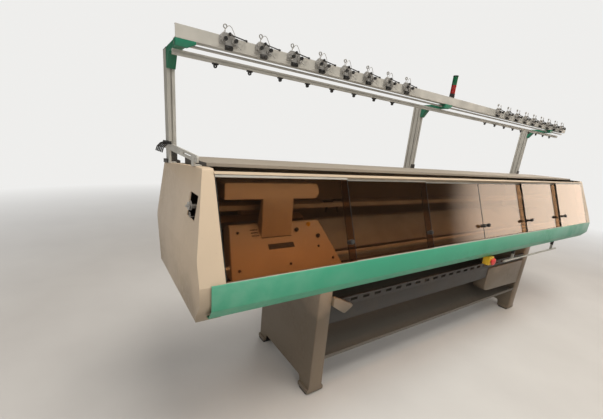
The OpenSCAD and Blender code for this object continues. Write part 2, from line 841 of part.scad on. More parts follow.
module fabric_tray() {
    x = leg_span / 2;
    y = leg_front_y + 4;
    color(paint_grey) placed() along_x(-x, x) polygon(sheet([
        [y + 10, tray_z + 14], [y, tray_z + 14], [y, tray_z - 10], [y + 30, tray_z - 16],
        [y + tray_depth - 60, tray_z + tray_rise - 188], [y + tray_depth, tray_z + tray_rise - 70],
        [y + tray_depth, tray_z + tray_rise]], panel_t));
}

module drive_box() {
    x1 = leg_span / 2;
    x0 = x1 - drive_w;
    z1 = drive_low_z + drive_h;
    color(paint_beige) placed() difference() {
        along_y(leg_front_y, leg_front_y + drive_depth) polygon(rounded([
            [x0, drive_low_z, 60], [x1, drive_low_z, 0], [x1, z1, 0], [x0, z1, 12]]));
        along_y(leg_front_y + 3, leg_front_y + drive_depth + 1) polygon(rounded([
            [x0 + 3, drive_low_z + 3, 57], [x1 - 3, drive_low_z + 3, 0], [x1 - 3, z1 - 3, 0], [x0 + 3, z1 - 3, 9]]));
    }
}

estop_z = rail_low_z - estop_w / 2;
estop_y = 14;

module estop_box() {
    color([0.95, 0.78, 0.1]) placed() difference() {
        along_y(estop_y, bevel_depth + 20) polygon(rounded([
            [estop_x - estop_w / 2, estop_z - estop_w / 2, 6], [estop_x + estop_w / 2, estop_z - estop_w / 2, 6],
            [estop_x + estop_w / 2, estop_z + estop_w / 2, 0], [estop_x - estop_w / 2, estop_z + estop_w / 2, 0]]));
        translate([estop_x, estop_y - 1, estop_z]) rotate([-90, 0, 0])
            cylinder(h = 31, d = estop_d * 0.5 + 2 * run_gap);
    }
}

module estop_button() {
    travel = 4;
    color([0.8, 0.08, 0.06]) placed() translate([estop_x, estop_front_y, estop_z]) rotate([-90, 0, 0])
        rotate_extrude() polygon([
            [0, 0], [estop_d * 0.35, 0], [estop_d / 2, 7], [estop_d / 2, 14],
            [estop_d / 4, estop_y - estop_front_y - travel - 3],
            [estop_d / 4, estop_y - estop_front_y + 18], [0, estop_y - estop_front_y + 18]]);
}

post_x = [-post_pitch, 0, post_pitch];

// Grooved post section, seen from above
module post_section() {
    slot = 8;
    deep = 9;
    difference() {
        translate([-post_w / 2, 0]) square([post_w, post_depth]);
        for (y = [post_depth * 0.25, post_depth * 0.75], s = [-1, 1])
            translate([s * post_w / 2, y]) square([2 * deep, slot], center = true);
        for (y = [0, post_depth])
            translate([0, y]) square([slot, 2 * deep], center = true);
    }
}

foot_t = 14;
post_base_z = top_line(post_y - 22) + foot_t;

module creel_posts() {
    color(aluminium) placed() for (x = post_x)
        translate([x, post_y, post_base_z]) linear_extrude(height = post_top_z - post_base_z)
            post_section();
}

// Wedges that bring the sloping deck level under the posts, each with a lug on the post's front
module post_feet() {
    y0 = post_y - 22;
    y1 = body_back_y - 2;
    seat = 0.02;
    color(cast_dark) placed() for (x = post_x) {
        along_x(x - post_w / 2 - 14, x + post_w / 2 + 14) polygon([
            [y0, top_line(y0) + seat], [y1, top_line(y1) + seat], [y1, post_base_z], [y0, post_base_z]]);
        difference() {
            block(x - post_w / 2 - 1, x + post_w / 2 + 1, post_y - 8, post_y, post_base_z, post_base_z + 60);
            translate([x, post_y - 12, post_base_z + 36]) rotate([-90, 0, 0]) cylinder(h = 20, d = 9);
        }
    }
}

module creel_arm() {
    pad = 70;
    difference() {
        union() {
            along_x(-arm_w / 2, arm_w / 2) polygon([
                [arm_y, post_top_z], [arm_y, arm_low_z], [post_y - 58, arm_low_z],
                [post_y - 12, arm_low_z - gusset_h], [post_y, arm_low_z - gusset_h],
                [post_y, post_top_z]]);
            along_y(arm_y, arm_y + 12) polygon([
                [0, arm_low_z], [arm_w / 2 + 8, arm_low_z], [pad, post_top_z - 12],
                [pad, post_top_z], [0, post_top_z]]);
        }
        rod_x(-arm_w, pad + 1, rod_y, rod_z, rod_d + 0.2);
    }
}

rod_y = arm_y + 30;
rod_z = post_top_z - arm_t / 2;
eyelet_bar_y = arm_y + 62;

module creel_arms() {
    color(paint_green) placed() for (x = post_x) translate([x, 0, 0]) creel_arm();
}

module creel_rail() {
    color(aluminium) placed() along_x(creel_x0, creel_x1) {
        polygon(sheet([
            [arm_y + 46, post_top_z], [arm_y, post_top_z], [arm_y, post_top_z + creel_rail_h],
            [arm_y + 10, post_top_z + creel_rail_h]], -3));
    }
}

module guide_rod() {
    color(steel) placed() rod_x(creel_x0, creel_x1, rod_y, rod_z, rod_d);
}

module eyelet_bar() {
    color(aluminium) placed() difference() {
        block(creel_x0, creel_x1, eyelet_bar_y, eyelet_bar_y + eyelet_bar_t,
            arm_low_z - eyelet_bar_h, arm_low_z);
        block(creel_x0 - 1, creel_x1 + 1, eyelet_bar_y - 1, eyelet_bar_y + 5,
            arm_low_z - eyelet_bar_h / 2 - 3, arm_low_z - eyelet_bar_h / 2 + 3);
    }
}

// Places of the tensioners along the creel rail
tensioner_x = concat(
    [for (i = [0 : tensioner_left_n - 1]) -post_pitch + 222 + i * tensioner_pitch],
    [for (i = [0 : tensioner_right_n - 1]) post_pitch * 0.385 + i * tensioner_pitch]);

module yarn_eyelets() {
    drop = 13;
    z = arm_low_z - eyelet_bar_h;
    color(black) placed() for (x = tensioner_x) translate([x - 40, eyelet_bar_y + eyelet_bar_t / 2, z]) difference() {
        union() {
            block(-15, 15, -8, 8, -6, 0);
            block(-9, 9, -5, 5, -drop, -5);
            translate([0, 0, -drop]) rotate([90, 0, 0]) cylinder(h = 10, d = 18, center = true);
        }
        translate([0, 0, -drop]) rotate([90, 0, 0]) cylinder(h = 12, d = 7, center = true);
    }
}

// Spring clamps that hang the tensioners on the creel rail's front face
module tensioner_bases() {
    color(black) placed() for (x = tensioner_x) translate([x, arm_y, post_top_z]) difference() {
        along_x(-17, 17) polygon(rounded([
            [0, -4, 0], [0, 16, 0], [-12, 16, 3], [-22, 4, 4], [-14, -4, 3]]));
        translate([0, -30, 5]) rotate([-90, 0, 0]) cylinder(h = 20, d = 6);
    }
}

// Dished disc with its axis along Z
module tension_disc(d, dish) {
    rotate_extrude() polygon([
        [1, 0], [d * 0.32, 0], [d / 2 - 1, dish], [d / 2, dish], [d / 2, dish + 1.4],
        [d / 2 - 1.6, dish + 1.4], [d * 0.3, 1.6], [1, 1.6]]);
}

// Plate with two pairs of tension discs, their springs and knobs, a stop arm and a guide loop
module tensioner_unit() {
    face = 5;
    low = 18;
    plate_w = tensioner_h;
    disc_d = tensioner_h * 0.3;
    disc_z = low + tensioner_h * 0.2;
    boss_z = low + tensioner_h * 0.48;
    along_y(-face, 0) polygon([
        [-plate_w / 2, low], [plate_w / 2, low], [plate_w / 2, low + 26],
        [plate_w * 0.2, boss_z + 8], [-plate_w * 0.3, boss_z + 8], [-plate_w / 2, low + 34]]);
    for (x = [-plate_w * 0.28, plate_w * 0.28]) translate([x, 0, disc_z]) rotate([90, 0, 0]) {
        translate([0, 0, face - 1]) cylinder(h = 38, d = 6.4);
        translate([0, 0, face + 4]) tension_disc(disc_d, -2.2);
        translate([0, 0, face + 7]) tension_disc(disc_d, 2.2);
        for (k = [0 : 3]) translate([0, 0, face + 11 + k * 4]) cylinder(h = 2, d = 12);
        translate([0, 0, face + 27]) cylinder(h = 10, d = 17);
    }
    translate([-plate_w * 0.2, -face / 2, boss_z]) {
        cylinder(h = 26, d = 4);
        translate([0, 0, 33]) rotate([90, 0, 0]) difference() {
            cylinder(h = 6, d = 20, center = true);
            cylinder(h = 8, d = 13, center = true);
        }
    }
    translate([0, 1 - face, boss_z]) {
        rotate([90, 0, 0]) cylinder(h = 17, d = 14);
        translate([0, -11, 0]) rotate([0, 96, 0]) {
            cylinder(h = plate_w * 0.9, d = 4.5);
            translate([0, 0, plate_w * 0.9 - 1]) cylinder(h = 9, d = 9);
        }
    }
}

module tensioner_units() {
    color(steel) placed() for (x = tensioner_x) translate([x, arm_y, post_top_z]) tensioner_unit();
}

lamp_x = 74;
lamp_z = post_top_z + creel_rail_h;

module lamp_base() {
    color(black) placed() translate([lamp_x, arm_y + 24, 0]) {
        translate([0, 0, post_top_z + 3]) cylinder(h = lamp_z - post_top_z - 3, d = 14);
        translate([0, 0, lamp_z]) cylinder(h = 34, d = lamp_d);
        translate([0, 0, lamp_z + 34 + 2 * lens_h]) cylinder(h = 8, d = lamp_d);
        translate([0, 0, lamp_z + 34]) cylinder(h = 2 * lens_h, d = 8);
    }
}

module lens(z) {
    translate([lamp_x, arm_y + 24, z]) difference() {
        cylinder(h = lens_h, d = lamp_d - 2);
        translate([0, 0, -1]) cylinder(h = lens_h + 2, d = lamp_d - 10);
    }
}

module lamp_red() {
    color([0.75, 0.1, 0.08]) placed() lens(lamp_z + 34);
}

module lamp_green() {
    color([0.1, 0.45, 0.25]) placed() lens(lamp_z + 34 + lens_h);
}

// Inclined bar over the left end cover, on two angle feet
module side_bar() {
    x = -half_w - end_top_w - 8;
    y0 = side_cut_y + 57;
    y1 = body_back_y;
    z0 = shelf_z;
    plate_len = 40;
    color(aluminium) placed() {
        difference() {
            along_x(x, x + 8) polygon(rounded([
                [y0, z0, 6], [y1, z0 + side_bar_rise, 12], [y1, z0 + side_bar_rise + side_bar_h + 10, 16],
                [y0, z0 + side_bar_h, 10]]));
            for (y = [y0 + 30, y0 + 300, y1 - 60])
                translate([x - 1, y, z0 + side_bar_h * 0.5 + (y - y0) / (y1 - y0) * (side_bar_rise + 4)])
                    rotate([0, 90, 0]) cylinder(h = 10, d = 9);
            along_x(x - 1, x + 9) polygon([
                [y0 + 90, z0 + 15], [y0 + 230, z0 + 21], [y0 + 230, z0 + 28], [y0 + 90, z0 + 22]]);
        }
        for (y = [y0 + 50, post_y - 70]) {
            along_x(x, x + 34) polygon([
                [y, top_line(y)], [y + plate_len, top_line(y + plate_len)],
                [y + plate_len, top_line(y) + 5], [y, top_line(y) + 5]]);
            block(x, x + 8, y, y + plate_len, top_line(y) + 2, z0 + 14 + (y - y0) / (y1 - y0) * side_bar_rise);
        }
    }
}

module side_tensioner() {
    x = -half_w - frame_t;
    y = side_cut_y + side_cut_w / 2;
    z = side_cut_z + side_cut_h / 2;
    color(steel) placed() {
        block(x + 2, -half_w, y - 30, y + 30, z - 40, z + 40);
        rod_x(-end_x + 4, x + 2, y, z, 10);
        rod_x(-end_x + 14, -end_x + 18, y, z, 34);
        rod_x(-end_x + 22, -end_x + 26, y, z, 34);
    }
}

// Cover k of six: its track, and its left and right edges
function track_of(k) = min(k - 1, 6 - k);
function cover_x0(k) = -half_w + (k - 1) * cover_pitch + (k == 1 ? 2 : k == 4 ? 1 : -cover_lap);
function cover_x1(k) = -half_w + k * cover_pitch + (k == 6 ? -2 : k == 3 ? -1 : cover_lap);
function knob_x(k) = -half_w + (k <= 3 ? k * cover_pitch - knob_in : (k - 1) * cover_pitch + knob_in);

module cover(k) {
    color(smoked) placed() on_slope(0, 0, track_of(k) * track_step)
        block(cover_x0(k), cover_x1(k), 0, cover_t, 0, cover_len - strip_h / 2);
}

module cover_fittings(k) {
    placed() on_slope(0, 0, track_of(k) * track_step) {
        color(aluminium) difference() {
            union() {
                block(cover_x0(k), cover_x1(k), (cover_t - strip_t) / 2, (cover_t + strip_t) / 2,
                    cover_len - strip_h, cover_len);
                block(cover_x0(k), cover_x1(k), (cover_t - tongue_t) / 2, (cover_t + tongue_t) / 2,
                    cover_len, cover_len + tongue_h);
            }
            block(cover_x0(k) - 1, cover_x1(k) + 1, 0, cover_t, cover_len - strip_h - 1, cover_len - strip_h / 2);
        }
        color(black) translate([knob_x(k), 0, knob_u]) rotate([90, 0, 0]) rotate_extrude() polygon([
            [0, 0], [knob_d * 0.3, 0], [knob_d * 0.3, knob_len * 0.3], [knob_d / 2, knob_len * 0.45],
            [knob_d / 2, knob_len - 3], [knob_d / 2 - 3, knob_len], [0, knob_len]]);
    }
}

left_pedestal();
right_pedestal();
levelling_pads();
bed_beam();
end_frames();
guide_rails();
rail_brackets();
front_rail();
rear_panel();
top_shelf();
left_end_cover();
right_end_cover();
upper_cover_track();
lower_cover_track();
front_needle_bed();
rear_needle_bed();
carriage_bow();
carriage_crossbar();
front_cam_housing();
rear_cam_housing();
carriage_bearings();
carriage_lamp();
yarn_rails();
yarn_carrier_1();
yarn_carrier_2();
takedown_roller();
pressure_roller();
roller_plates();
takedown_guard();
fabric_tray();
drive_box();
start_bar();
estop_box();
estop_button();
creel_posts();
post_feet();
creel_arms();
creel_rail();
guide_rod();
eyelet_bar();
yarn_eyelets();
tensioner_bases();
tensioner_units();
lamp_base();
lamp_red();
lamp_green();
side_bar();
side_tensioner();
cover(1);  // cover_1
cover(2);  // cover_2
cover(3);  // cover_3
cover(4);  // cover_4
cover(5);  // cover_5
cover(6);  // cover_6
cover_fittings(1);  // cover_fittings_1
cover_fittings(2);  // cover_fittings_2
cover_fittings(3);  // cover_fittings_3
cover_fittings(4);  // cover_fittings_4
cover_fittings(5);  // cover_fittings_5
cover_fittings(6);  // cover_fittings_6
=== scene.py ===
"""Looks of the flat knitting machine: finishes, trim and fine pieces around its fixed frame.

Meshes are in metres. The sizes of pieces are in millimetres, and their angles in degrees.
"""

import json
import logging
import math
from dataclasses import dataclass
from enum import Enum
from functools import partial
from typing import Callable, Iterable, Sequence

import bmesh
import bpy
from mathutils import Matrix, Vector


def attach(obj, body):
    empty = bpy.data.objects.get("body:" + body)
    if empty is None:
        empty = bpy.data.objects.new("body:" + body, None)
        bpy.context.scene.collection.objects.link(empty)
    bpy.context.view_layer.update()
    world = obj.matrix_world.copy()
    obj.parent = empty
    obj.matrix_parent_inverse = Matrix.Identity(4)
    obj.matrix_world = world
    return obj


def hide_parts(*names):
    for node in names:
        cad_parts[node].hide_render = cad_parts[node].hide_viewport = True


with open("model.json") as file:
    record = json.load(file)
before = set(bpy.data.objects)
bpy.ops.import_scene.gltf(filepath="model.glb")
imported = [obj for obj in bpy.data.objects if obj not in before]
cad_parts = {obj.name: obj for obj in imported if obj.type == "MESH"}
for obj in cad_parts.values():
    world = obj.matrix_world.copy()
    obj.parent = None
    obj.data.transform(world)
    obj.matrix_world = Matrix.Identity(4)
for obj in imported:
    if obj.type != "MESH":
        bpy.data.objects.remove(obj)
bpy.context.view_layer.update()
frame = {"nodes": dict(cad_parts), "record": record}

LOG = logging.getLogger("knitting_machine")
Colour = tuple[float, float, float]
Profile = Sequence[tuple[float, float]]
Socket = bpy.types.NodeSocket
Sockets = bpy.types.bpy_prop_collection
Mesh = bmesh.types.BMesh
Edge = bmesh.types.BMEdge
MM = 0.001
BEDS_MIDDLE = 160.0
RAIL_FACE = 459.0
SHARP = 35.0
MIX_INPUTS = (0, 6, 7)
MIX_RESULT = 2
BACKGROUND = (0.86, 0.855, 0.84)


class Slot(str, Enum):
    """Material slots of the record that the pieces take their finish from."""

    BEIGE = "beige_paint"
    GREEN = "green_paint"
    GREY = "grey_paint"
    IRON = "dark_iron"
    STEEL = "bright_steel"
    ALUMINIUM = "aluminium"
    BLACK = "black_plastic"
    RUBBER = "roller_rubber"
    SMOKED = "smoked_sheet"
    YELLOW = "yellow_plastic"
    AMBER = "amber_lens"
    RED = "red_plastic"
    RED_LENS = "red_lens"
    GREEN_LENS = "green_lens"


def linear(*display: int) -> Colour:
    """Turns a display colour, from 0 to 255, into scene-linear light."""
    parts = (value / 255 for value in display)
    return tuple(part / 12.92 if part <= 0.04045 else ((part + 0.055) / 1.055) ** 2.4 for part in parts)


def scaled(colour: Colour, factor: float) -> Colour:
    """Returns a colour made lighter or darker."""
    return colour[0] * factor, colour[1] * factor, colour[2] * factor


class Graph:
    """A node tree with short calls that add and join its nodes."""

    def __init__(self, tree: bpy.types.NodeTree) -> None:
        """Wraps a node tree."""
        self.tree = tree

    def join(self, source: Socket, target: Socket) -> None:
        """Links an output to an input."""
        self.tree.links.new(source, target)

    def feed(self, target: Socket, given: object) -> None:
        """Gives an input what it works on.

        Args:
            target: The input.
            given: A number, a colour or another node's output.
        """
        if isinstance(given, Socket):
            self.join(given, target)
        elif isinstance(given, tuple):
            target.default_value = (*given, 1.0)
        else:
            target.default_value = given

    def add(self, kind: str, inputs: dict | None = None, **values: object) -> bpy.types.Node:
        """Adds a shader node.

        Args:
            kind: Blender's name of the node type, without its ShaderNode prefix.
            inputs: What its inputs are given, by their names or numbers.
            **values: Properties of the node to set.

        Returns:
            The new node.
        """
        node = self.tree.nodes.new("ShaderNode" + kind)
        for name, value in values.items():
            setattr(node, name, value)
        for name, given in (inputs or {}).items():
            self.feed(node.inputs[name], given)
        return node

    def noise(self, where: Socket, scale: object, detail: float) -> Socket:
        """Returns a noise texture's value; its scale is in features to a metre."""
        return self.add("TexNoise", {"Vector": where, "Scale": scale, "Detail": detail}).outputs["Fac"]

    def spread(self, value: Socket, low: float, high: float, to_low: float = 0.0,
               to_high: float = 1.0) -> Socket:
        """Maps a value's range from low to high onto the range from to_low to to_high."""
        ends = {"From Min": low, "From Max": high, "To Min": to_low, "To Max": to_high}
        return self.add("MapRange", {"Value": value, **ends}).outputs["Result"]

    def maths(self, operation: str, first: object, second: object) -> Socket:
        """Returns the result of a Math node on two outputs or numbers."""
        return self.add("Math", {0: first, 1: second}, operation=operation).outputs[0]

    def blend(self, factor: Socket, first: object, second: object) -> Socket:
        """Mixes two colours: a factor of 0 gives the first, and 1 the second."""
        given = dict(zip(MIX_INPUTS, (factor, first, second)))
        return self.add("Mix", given, data_type="RGBA").outputs[MIX_RESULT]

    def mix(self, factor: Socket, first: Socket, second: Socket) -> Socket:
        """Mixes two shaders: a factor of 0 gives the first, and 1 the second."""
        return self.add("MixShader", {0: factor, 1: first, 2: second}).outputs[0]

    def split(self, vector: Socket) -> Sockets:
        """Returns the X, Y and Z of a vector."""
        return self.add("SeparateXYZ", {0: vector}).outputs


def effect_group(name: str, numbers: dict[str, float],
                 results: Sequence[str]) -> tuple[Graph, Sockets, Sockets]:
    """Starts a node group that works on coordinates and numbers.

    Args:
        name: Name of the group.
        numbers: Names of its number inputs with their usual values.
        results: Names of its outputs.

    Returns:
        The group's graph, its inputs and its outputs.
    """
    tree = bpy.data.node_groups.new(name, "ShaderNodeTree")
    tree.interface.new_socket("Vector", in_out="INPUT", socket_type="NodeSocketVector")
    for socket, value in numbers.items():
        made = tree.interface.new_socket(socket, in_out="INPUT", socket_type="NodeSocketFloat")
        made.default_value = value
    for socket in results:
        tree.interface.new_socket(socket, in_out="OUTPUT", socket_type="NodeSocketFloat")
    entry = tree.nodes.new("NodeGroupInput")
    leave = tree.nodes.new("NodeGroupOutput")
    return Graph(tree), entry.outputs, leave.inputs


def make_wear_group() -> bpy.types.NodeTree:
    """Builds the shared effect of age: slow tone changes, dust patches, chips and a fine skin.

    Returns:
        The group, with outputs Tone, Dust, Chip and Skin.
    """
    scales = {"Tone Scale": 1.7, "Dust Scale": 4.0, "Skin Scale": 300.0}
    graph, given, result = effect_group("aged_surface", scales, ("Tone", "Dust", "Chip", "Skin"))
    where = given["Vector"]
    tone = graph.noise(where, given["Tone Scale"], detail=3.0)
    patches = graph.spread(graph.noise(where, given["Dust Scale"], detail=5.0), low=0.42, high=0.68)
    specks = graph.spread(graph.noise(where, scale=38.0, detail=4.0), low=0.3, high=0.75)
    graph.join(graph.spread(tone, low=0.3, high=0.7), result["Tone"])
    graph.join(graph.maths("MULTIPLY", patches, specks), result["Dust"])
    graph.join(graph.spread(graph.noise(where, scale=90.0, detail=3.0), low=0.70, high=0.74), result["Chip"])
    graph.join(graph.noise(where, given["Skin Scale"], detail=1.0), result["Skin"])
    return graph.tree


def make_brushed_group() -> bpy.types.NodeTree:
    """Builds the shared effect of drawn metal: fine lines along X and cloudy handling marks.

    Returns:
        The group, with outputs Lines and Cloud.
    """
    graph, given, result = effect_group("drawn_metal", {"Length": 6.0, "Fineness": 900.0}, ("Lines", "Cloud"))
    parts = zip(graph.split(given["Vector"]), ("Length", "Fineness", "Fineness"))
    stretched = [graph.maths("MULTIPLY", part, given[by]) for part, by in parts]
    drawn = graph.add("CombineXYZ", dict(enumerate(stretched))).outputs[0]
    cloud = graph.noise(given["Vector"], scale=7.0, detail=4.0)
    graph.join(graph.noise(drawn, scale=1.0, detail=2.0), result["Lines"])
    graph.join(graph.spread(cloud, low=0.35, high=0.7), result["Cloud"])
    return graph.tree


WEAR_GROUP = make_wear_group()
BRUSHED_GROUP = make_brushed_group()


class Surface(Graph):
    """A new material's nodes, with its Principled shader and its Object coordinates."""

    def __init__(self, name: str) -> None:
        """Starts a material of that name."""
        self.material = bpy.data.materials.new(name)
        self.material.use_nodes = True
        super().__init__(self.material.node_tree)
        self.shader = self.tree.nodes["Principled BSDF"]
        self.where = self.add("TexCoord").outputs["Object"]

    def give(self, name: str, given: object) -> None:
        """Gives the shader's named input a number, a colour or an output."""
        self.feed(self.shader.inputs[name], given)

    def effect(self, group: bpy.types.NodeTree, **scales: float) -> Sockets:
        """Places a shared effect; its Scale inputs are given by the first words of their names."""
        numbers = {name + " Scale": value for name, value in scales.items()}
        return self.add("Group", {"Vector": self.where, **numbers}, node_tree=group).outputs

    def roughen(self, mask: Socket, clean: float, more: float) -> None:
        """Sets the roughness to its clean value, and to so much more where a mask is 1."""
        self.give("Roughness", self.spread(mask, 0.0, 1.0, clean, clean + more))

    def bump(self, height: Socket, depth: float) -> None:
        """Raises the surface by a height from 0 to 1, times a depth in metres."""
        raised = self.add("Bump", {"Strength": 1.0, "Distance": depth, "Height": height})
        self.give("Normal", raised.outputs[0])

    def show(self, shader: Socket) -> None:
        """Makes a shader the material's surface."""
        self.join(shader, self.tree.nodes["Material Output"].inputs["Surface"])


@dataclass(frozen=True)
class Paint:
    """Machine enamel with dust, handling marks and small chips, with painted glare and painted shade where
    asked.

    Attributes:
        name: Name of the material.
        colour: Colour of clean paint.
        dust: Colour of the dust that lies on it.
        dust_amount: How much dust shows, from 0 to 1.
        roughness: Roughness of clean paint.
        skin: Depth of the paint's fine skin, in metres.
        tone: How much its tone changes over a metre.
        glare_ends: Places along X, in metres, beyond which painted glare pales the paint on the left and the
            right.
        shade_high: Share of its colour that the paint keeps high up, darkened by painted shade.
        shade_low: Share that it keeps near the floor, darkened by painted shade.
    """

    name: str
    colour: Colour
    dust: Colour
    dust_amount: float
    roughness: float
    skin: float = 0.00012
    tone: float = 0.08
    glare_ends: tuple[float, float] | None = None
    shade_high: float = 1.0
    shade_low: float = 1.0

    def paint_glare(self, surface: Surface, colour: Socket) -> Socket:
        """Paints a pale glare towards both ends of a long piece, in clouds.

        Args:
            surface: The paint's nodes.
            colour: Colour of the paint so far.

        Returns:
            The colour with its painted glare at the ends.
        """
        left, right = self.glare_ends
        along = surface.split(surface.where)[0]
        faint_glare = surface.spread(along, left - 0.5, left + 0.7, to_low=0.35, to_high=0.0)
        full_glare = surface.spread(along, right - 0.1, right + 0.2)
        noise = surface.noise(surface.where, scale=9.0, detail=5.0)
        cloud = surface.spread(noise, low=0.35, high=0.7, to_low=0.1, to_high=0.75)
        ends = surface.maths("MAXIMUM", faint_glare, full_glare)
        # Painted highlight: the pale colour stands in for glare towards the rail's ends.
        return surface.blend(surface.maths("MULTIPLY", ends, cloud), colour, linear(190, 205, 190))

    def paint_shade(self, surface: Surface, colour: Socket) -> Socket:
        """Paints shade on the paint near the floor and high up, with a wandering edge.

        Args:
            surface: The paint's nodes.
            colour: Colour of the paint so far.

        Returns:
            The colour with its painted shade.
        """
        noise = surface.noise(surface.where, scale=3.0, detail=4.0)
        wander = surface.spread(noise, low=0.3, high=0.7, to_low=-0.12, to_high=0.12)
        height = surface.maths("ADD", surface.split(surface.where)[2], wander)
        # Painted shade: the paint darkens near the floor and, where asked, high up.
        low = surface.spread(height, 0.55, 0.98, to_low=1.0, to_high=0.0)
        high = surface.spread(height, 1.4, 1.8)
        shaded = surface.blend(low, colour, scaled(self.colour, self.shade_low))
        return surface.blend(high, shaded, scaled(self.colour, self.shade_high)) if self.shade_high < 1 else shaded

    def build(self) -> bpy.types.Material:
        """Returns the paint's material."""
        surface = Surface(self.name)
        effect = surface.effect(WEAR_GROUP)
        dark, light = (scaled(self.colour, 1 + change) for change in (-self.tone, self.tone))
        base = surface.blend(effect["Tone"], dark, light)
        dusty = surface.blend(surface.maths("MULTIPLY", effect["Dust"], self.dust_amount), base, self.dust)
        under_chip, chip_amount = (0.12, 0.11, 0.10), 0.25
        worn_glare_shade = surface.blend(surface.maths("MULTIPLY", effect["Chip"], chip_amount), dusty, under_chip)
        # Painted glare towards both ends, where asked.
        if self.glare_ends:
            worn_glare_shade = self.paint_glare(surface, worn_glare_shade)
        # Painted shade near the floor and high up, where asked.
        if self.shade_low < 1:
            worn_glare_shade = self.paint_shade(surface, worn_glare_shade)
        surface.give("Base Color", worn_glare_shade)
        surface.roughen(effect["Dust"], self.roughness, more=0.3)
        surface.bump(effect["Skin"], self.skin)
        return surface.material


@dataclass(frozen=True)
class Metal:
    """Bare metal with drawn lines and cloudy handling marks.

    Attributes:
        name: Name of the material.
        colour: Colour of the metal.
        roughness: Its least roughness.
        cloud: How much the marks add to it.
        bare: How bare the metal is, from 0 for oxidised or lacquered to 1.
    """

    name: str
    colour: Colour
    roughness: float
    cloud: float
    bare: float

    def build(self) -> bpy.types.Material:
        """Returns the metal's material."""
        surface = Surface(self.name)
        effect = surface.effect(BRUSHED_GROUP)
        surface.give("Base Color", surface.blend(effect["Cloud"], self.colour, scaled(self.colour, 0.82)))
        surface.give("Metallic", self.bare)
        surface.roughen(effect["Cloud"], self.roughness, self.cloud)
        surface.bump(effect["Lines"], depth=0.00003)
        return surface.material


@dataclass(frozen=True)
class Plastic:
    """Moulded plastic or rubber with a fine skin.

    Attributes:
        name: Name of the material.
        colour: Its colour.
        roughness: Its roughness.
        skin: Depth of its skin, in metres.
        skin_scale: Features of the skin to a metre.
        see_through: Transmission weight, for lenses.
    """

    name: str
    colour: Colour
    roughness: float
    skin: float = 0.00008
    skin_scale: float = 500.0
    see_through: float = 0.0

    def build(self) -> bpy.types.Material:
        """Returns the plastic's material."""
        surface = Surface(self.name)
        effect = surface.effect(WEAR_GROUP, Tone=8.0, Dust=12.0, Skin=self.skin_scale)
        base = surface.blend(effect["Tone"], scaled(self.colour, 0.9), scaled(self.colour, 1.1))
        dust = surface.maths("MULTIPLY", effect["Dust"], 0.25)
        surface.give("Base Color", surface.blend(dust, base, linear(150, 145, 138)))
        surface.give("Transmission Weight", self.see_through)
        surface.roughen(effect["Dust"], self.roughness, more=0.25)
        surface.bump(effect["Skin"], self.skin)
        return surface.material


@dataclass(frozen=True)
class SmokedSheet:
    """Clear sheet, smoked brown, that lets lamps through.

    Attributes:
        name: Name of the material.
        tint: What one pass lets through.
    """

    name: str
    tint: Colour

    def build(self) -> bpy.types.Material:
        """Returns the sheet's material."""
        surface = Surface(self.name)
        effect = surface.effect(WEAR_GROUP, Dust=6.0)
        surface.give("Base Color", surface.blend(effect["Dust"], self.tint, scaled(self.tint, 0.93)))
        surface.give("Transmission Weight", 1.0)
        surface.give("IOR", 1.49)
        surface.roughen(effect["Dust"], clean=0.04, more=0.1)
        clear = surface.add("BsdfTransparent", {"Color": self.tint})
        shadow = surface.add("LightPath").outputs["Is Shadow Ray"]
        surface.show(surface.mix(shadow, surface.shader.outputs[0], clear.outputs[0]))
        return surface.material


FINISHES = {
    # Beige: painted shade darkens it near the floor.
    Slot.BEIGE: Paint("beige_enamel", linear(184, 165, 141), dust=linear(168, 158, 144), dust_amount=0.3,
                      roughness=0.46, shade_low=0.35),
    # Green: painted glare pales the rail's ends; painted shade darkens it high up and a little near the
    # floor.
    Slot.GREEN: Paint("green_enamel", linear(52, 146, 112), dust=linear(110, 148, 128), dust_amount=0.2,
                      roughness=0.36, tone=0.1, glare_ends=(-2.0, 1.75), shade_high=0.5, shade_low=0.9),
    # Grey: painted shade darkens it near the floor.
    Slot.GREY: Paint("grey_enamel", linear(142, 133, 120), dust=linear(132, 123, 111), dust_amount=0.35,
                     roughness=0.5, shade_low=0.4),
    Slot.IRON: Paint("dark_castings", linear(52, 50, 48), dust=linear(96, 88, 78), dust_amount=0.5,
                     roughness=0.55, skin=0.0003),
    Slot.STEEL: Metal("ground_steel", linear(172, 169, 163), roughness=0.34, cloud=0.2, bare=0.45),
    Slot.ALUMINIUM: Metal("drawn_aluminium", linear(186, 182, 172), roughness=0.46, cloud=0.18, bare=0.25),
    Slot.BLACK: Plastic("black_moulding", linear(28, 28, 28), roughness=0.5),
    Slot.RUBBER: Plastic("roller_rubber", linear(30, 29, 28), roughness=0.75, skin=0.0003, skin_scale=240.0),
    Slot.SMOKED: SmokedSheet("smoked_sheet", (0.60, 0.42, 0.27)),
    Slot.YELLOW: Plastic("yellow_moulding", linear(226, 178, 30), roughness=0.4),
    Slot.AMBER: Plastic("amber_lens", linear(232, 178, 46), roughness=0.25, see_through=0.3),
    Slot.RED: Plastic("red_moulding", linear(196, 28, 22), roughness=0.3),
    Slot.RED_LENS: Plastic("red_lens", linear(150, 22, 18), roughness=0.2, see_through=0.35),
    Slot.GREEN_LENS: Plastic("green_lens", linear(20, 92, 58), roughness=0.2, see_through=0.35),
}
MATERIALS = {slot: finish.build() for slot, finish in FINISHES.items()}
SLOT_OF = {row["node"]: Slot(row["material_slot"]) for row in frame["record"]["subparts"]}


def dress_frame() -> None:
    """Gives every CAD node the finish of its slot."""
    for name, thing in frame["nodes"].items():
        finish = MATERIALS[SLOT_OF[name]]
        if not thing.material_slots:
            thing.data.materials.append(finish)
        for slot in thing.material_slots:
            slot.material = finish
    LOG.info("dressed %d frame nodes", len(frame["nodes"]))


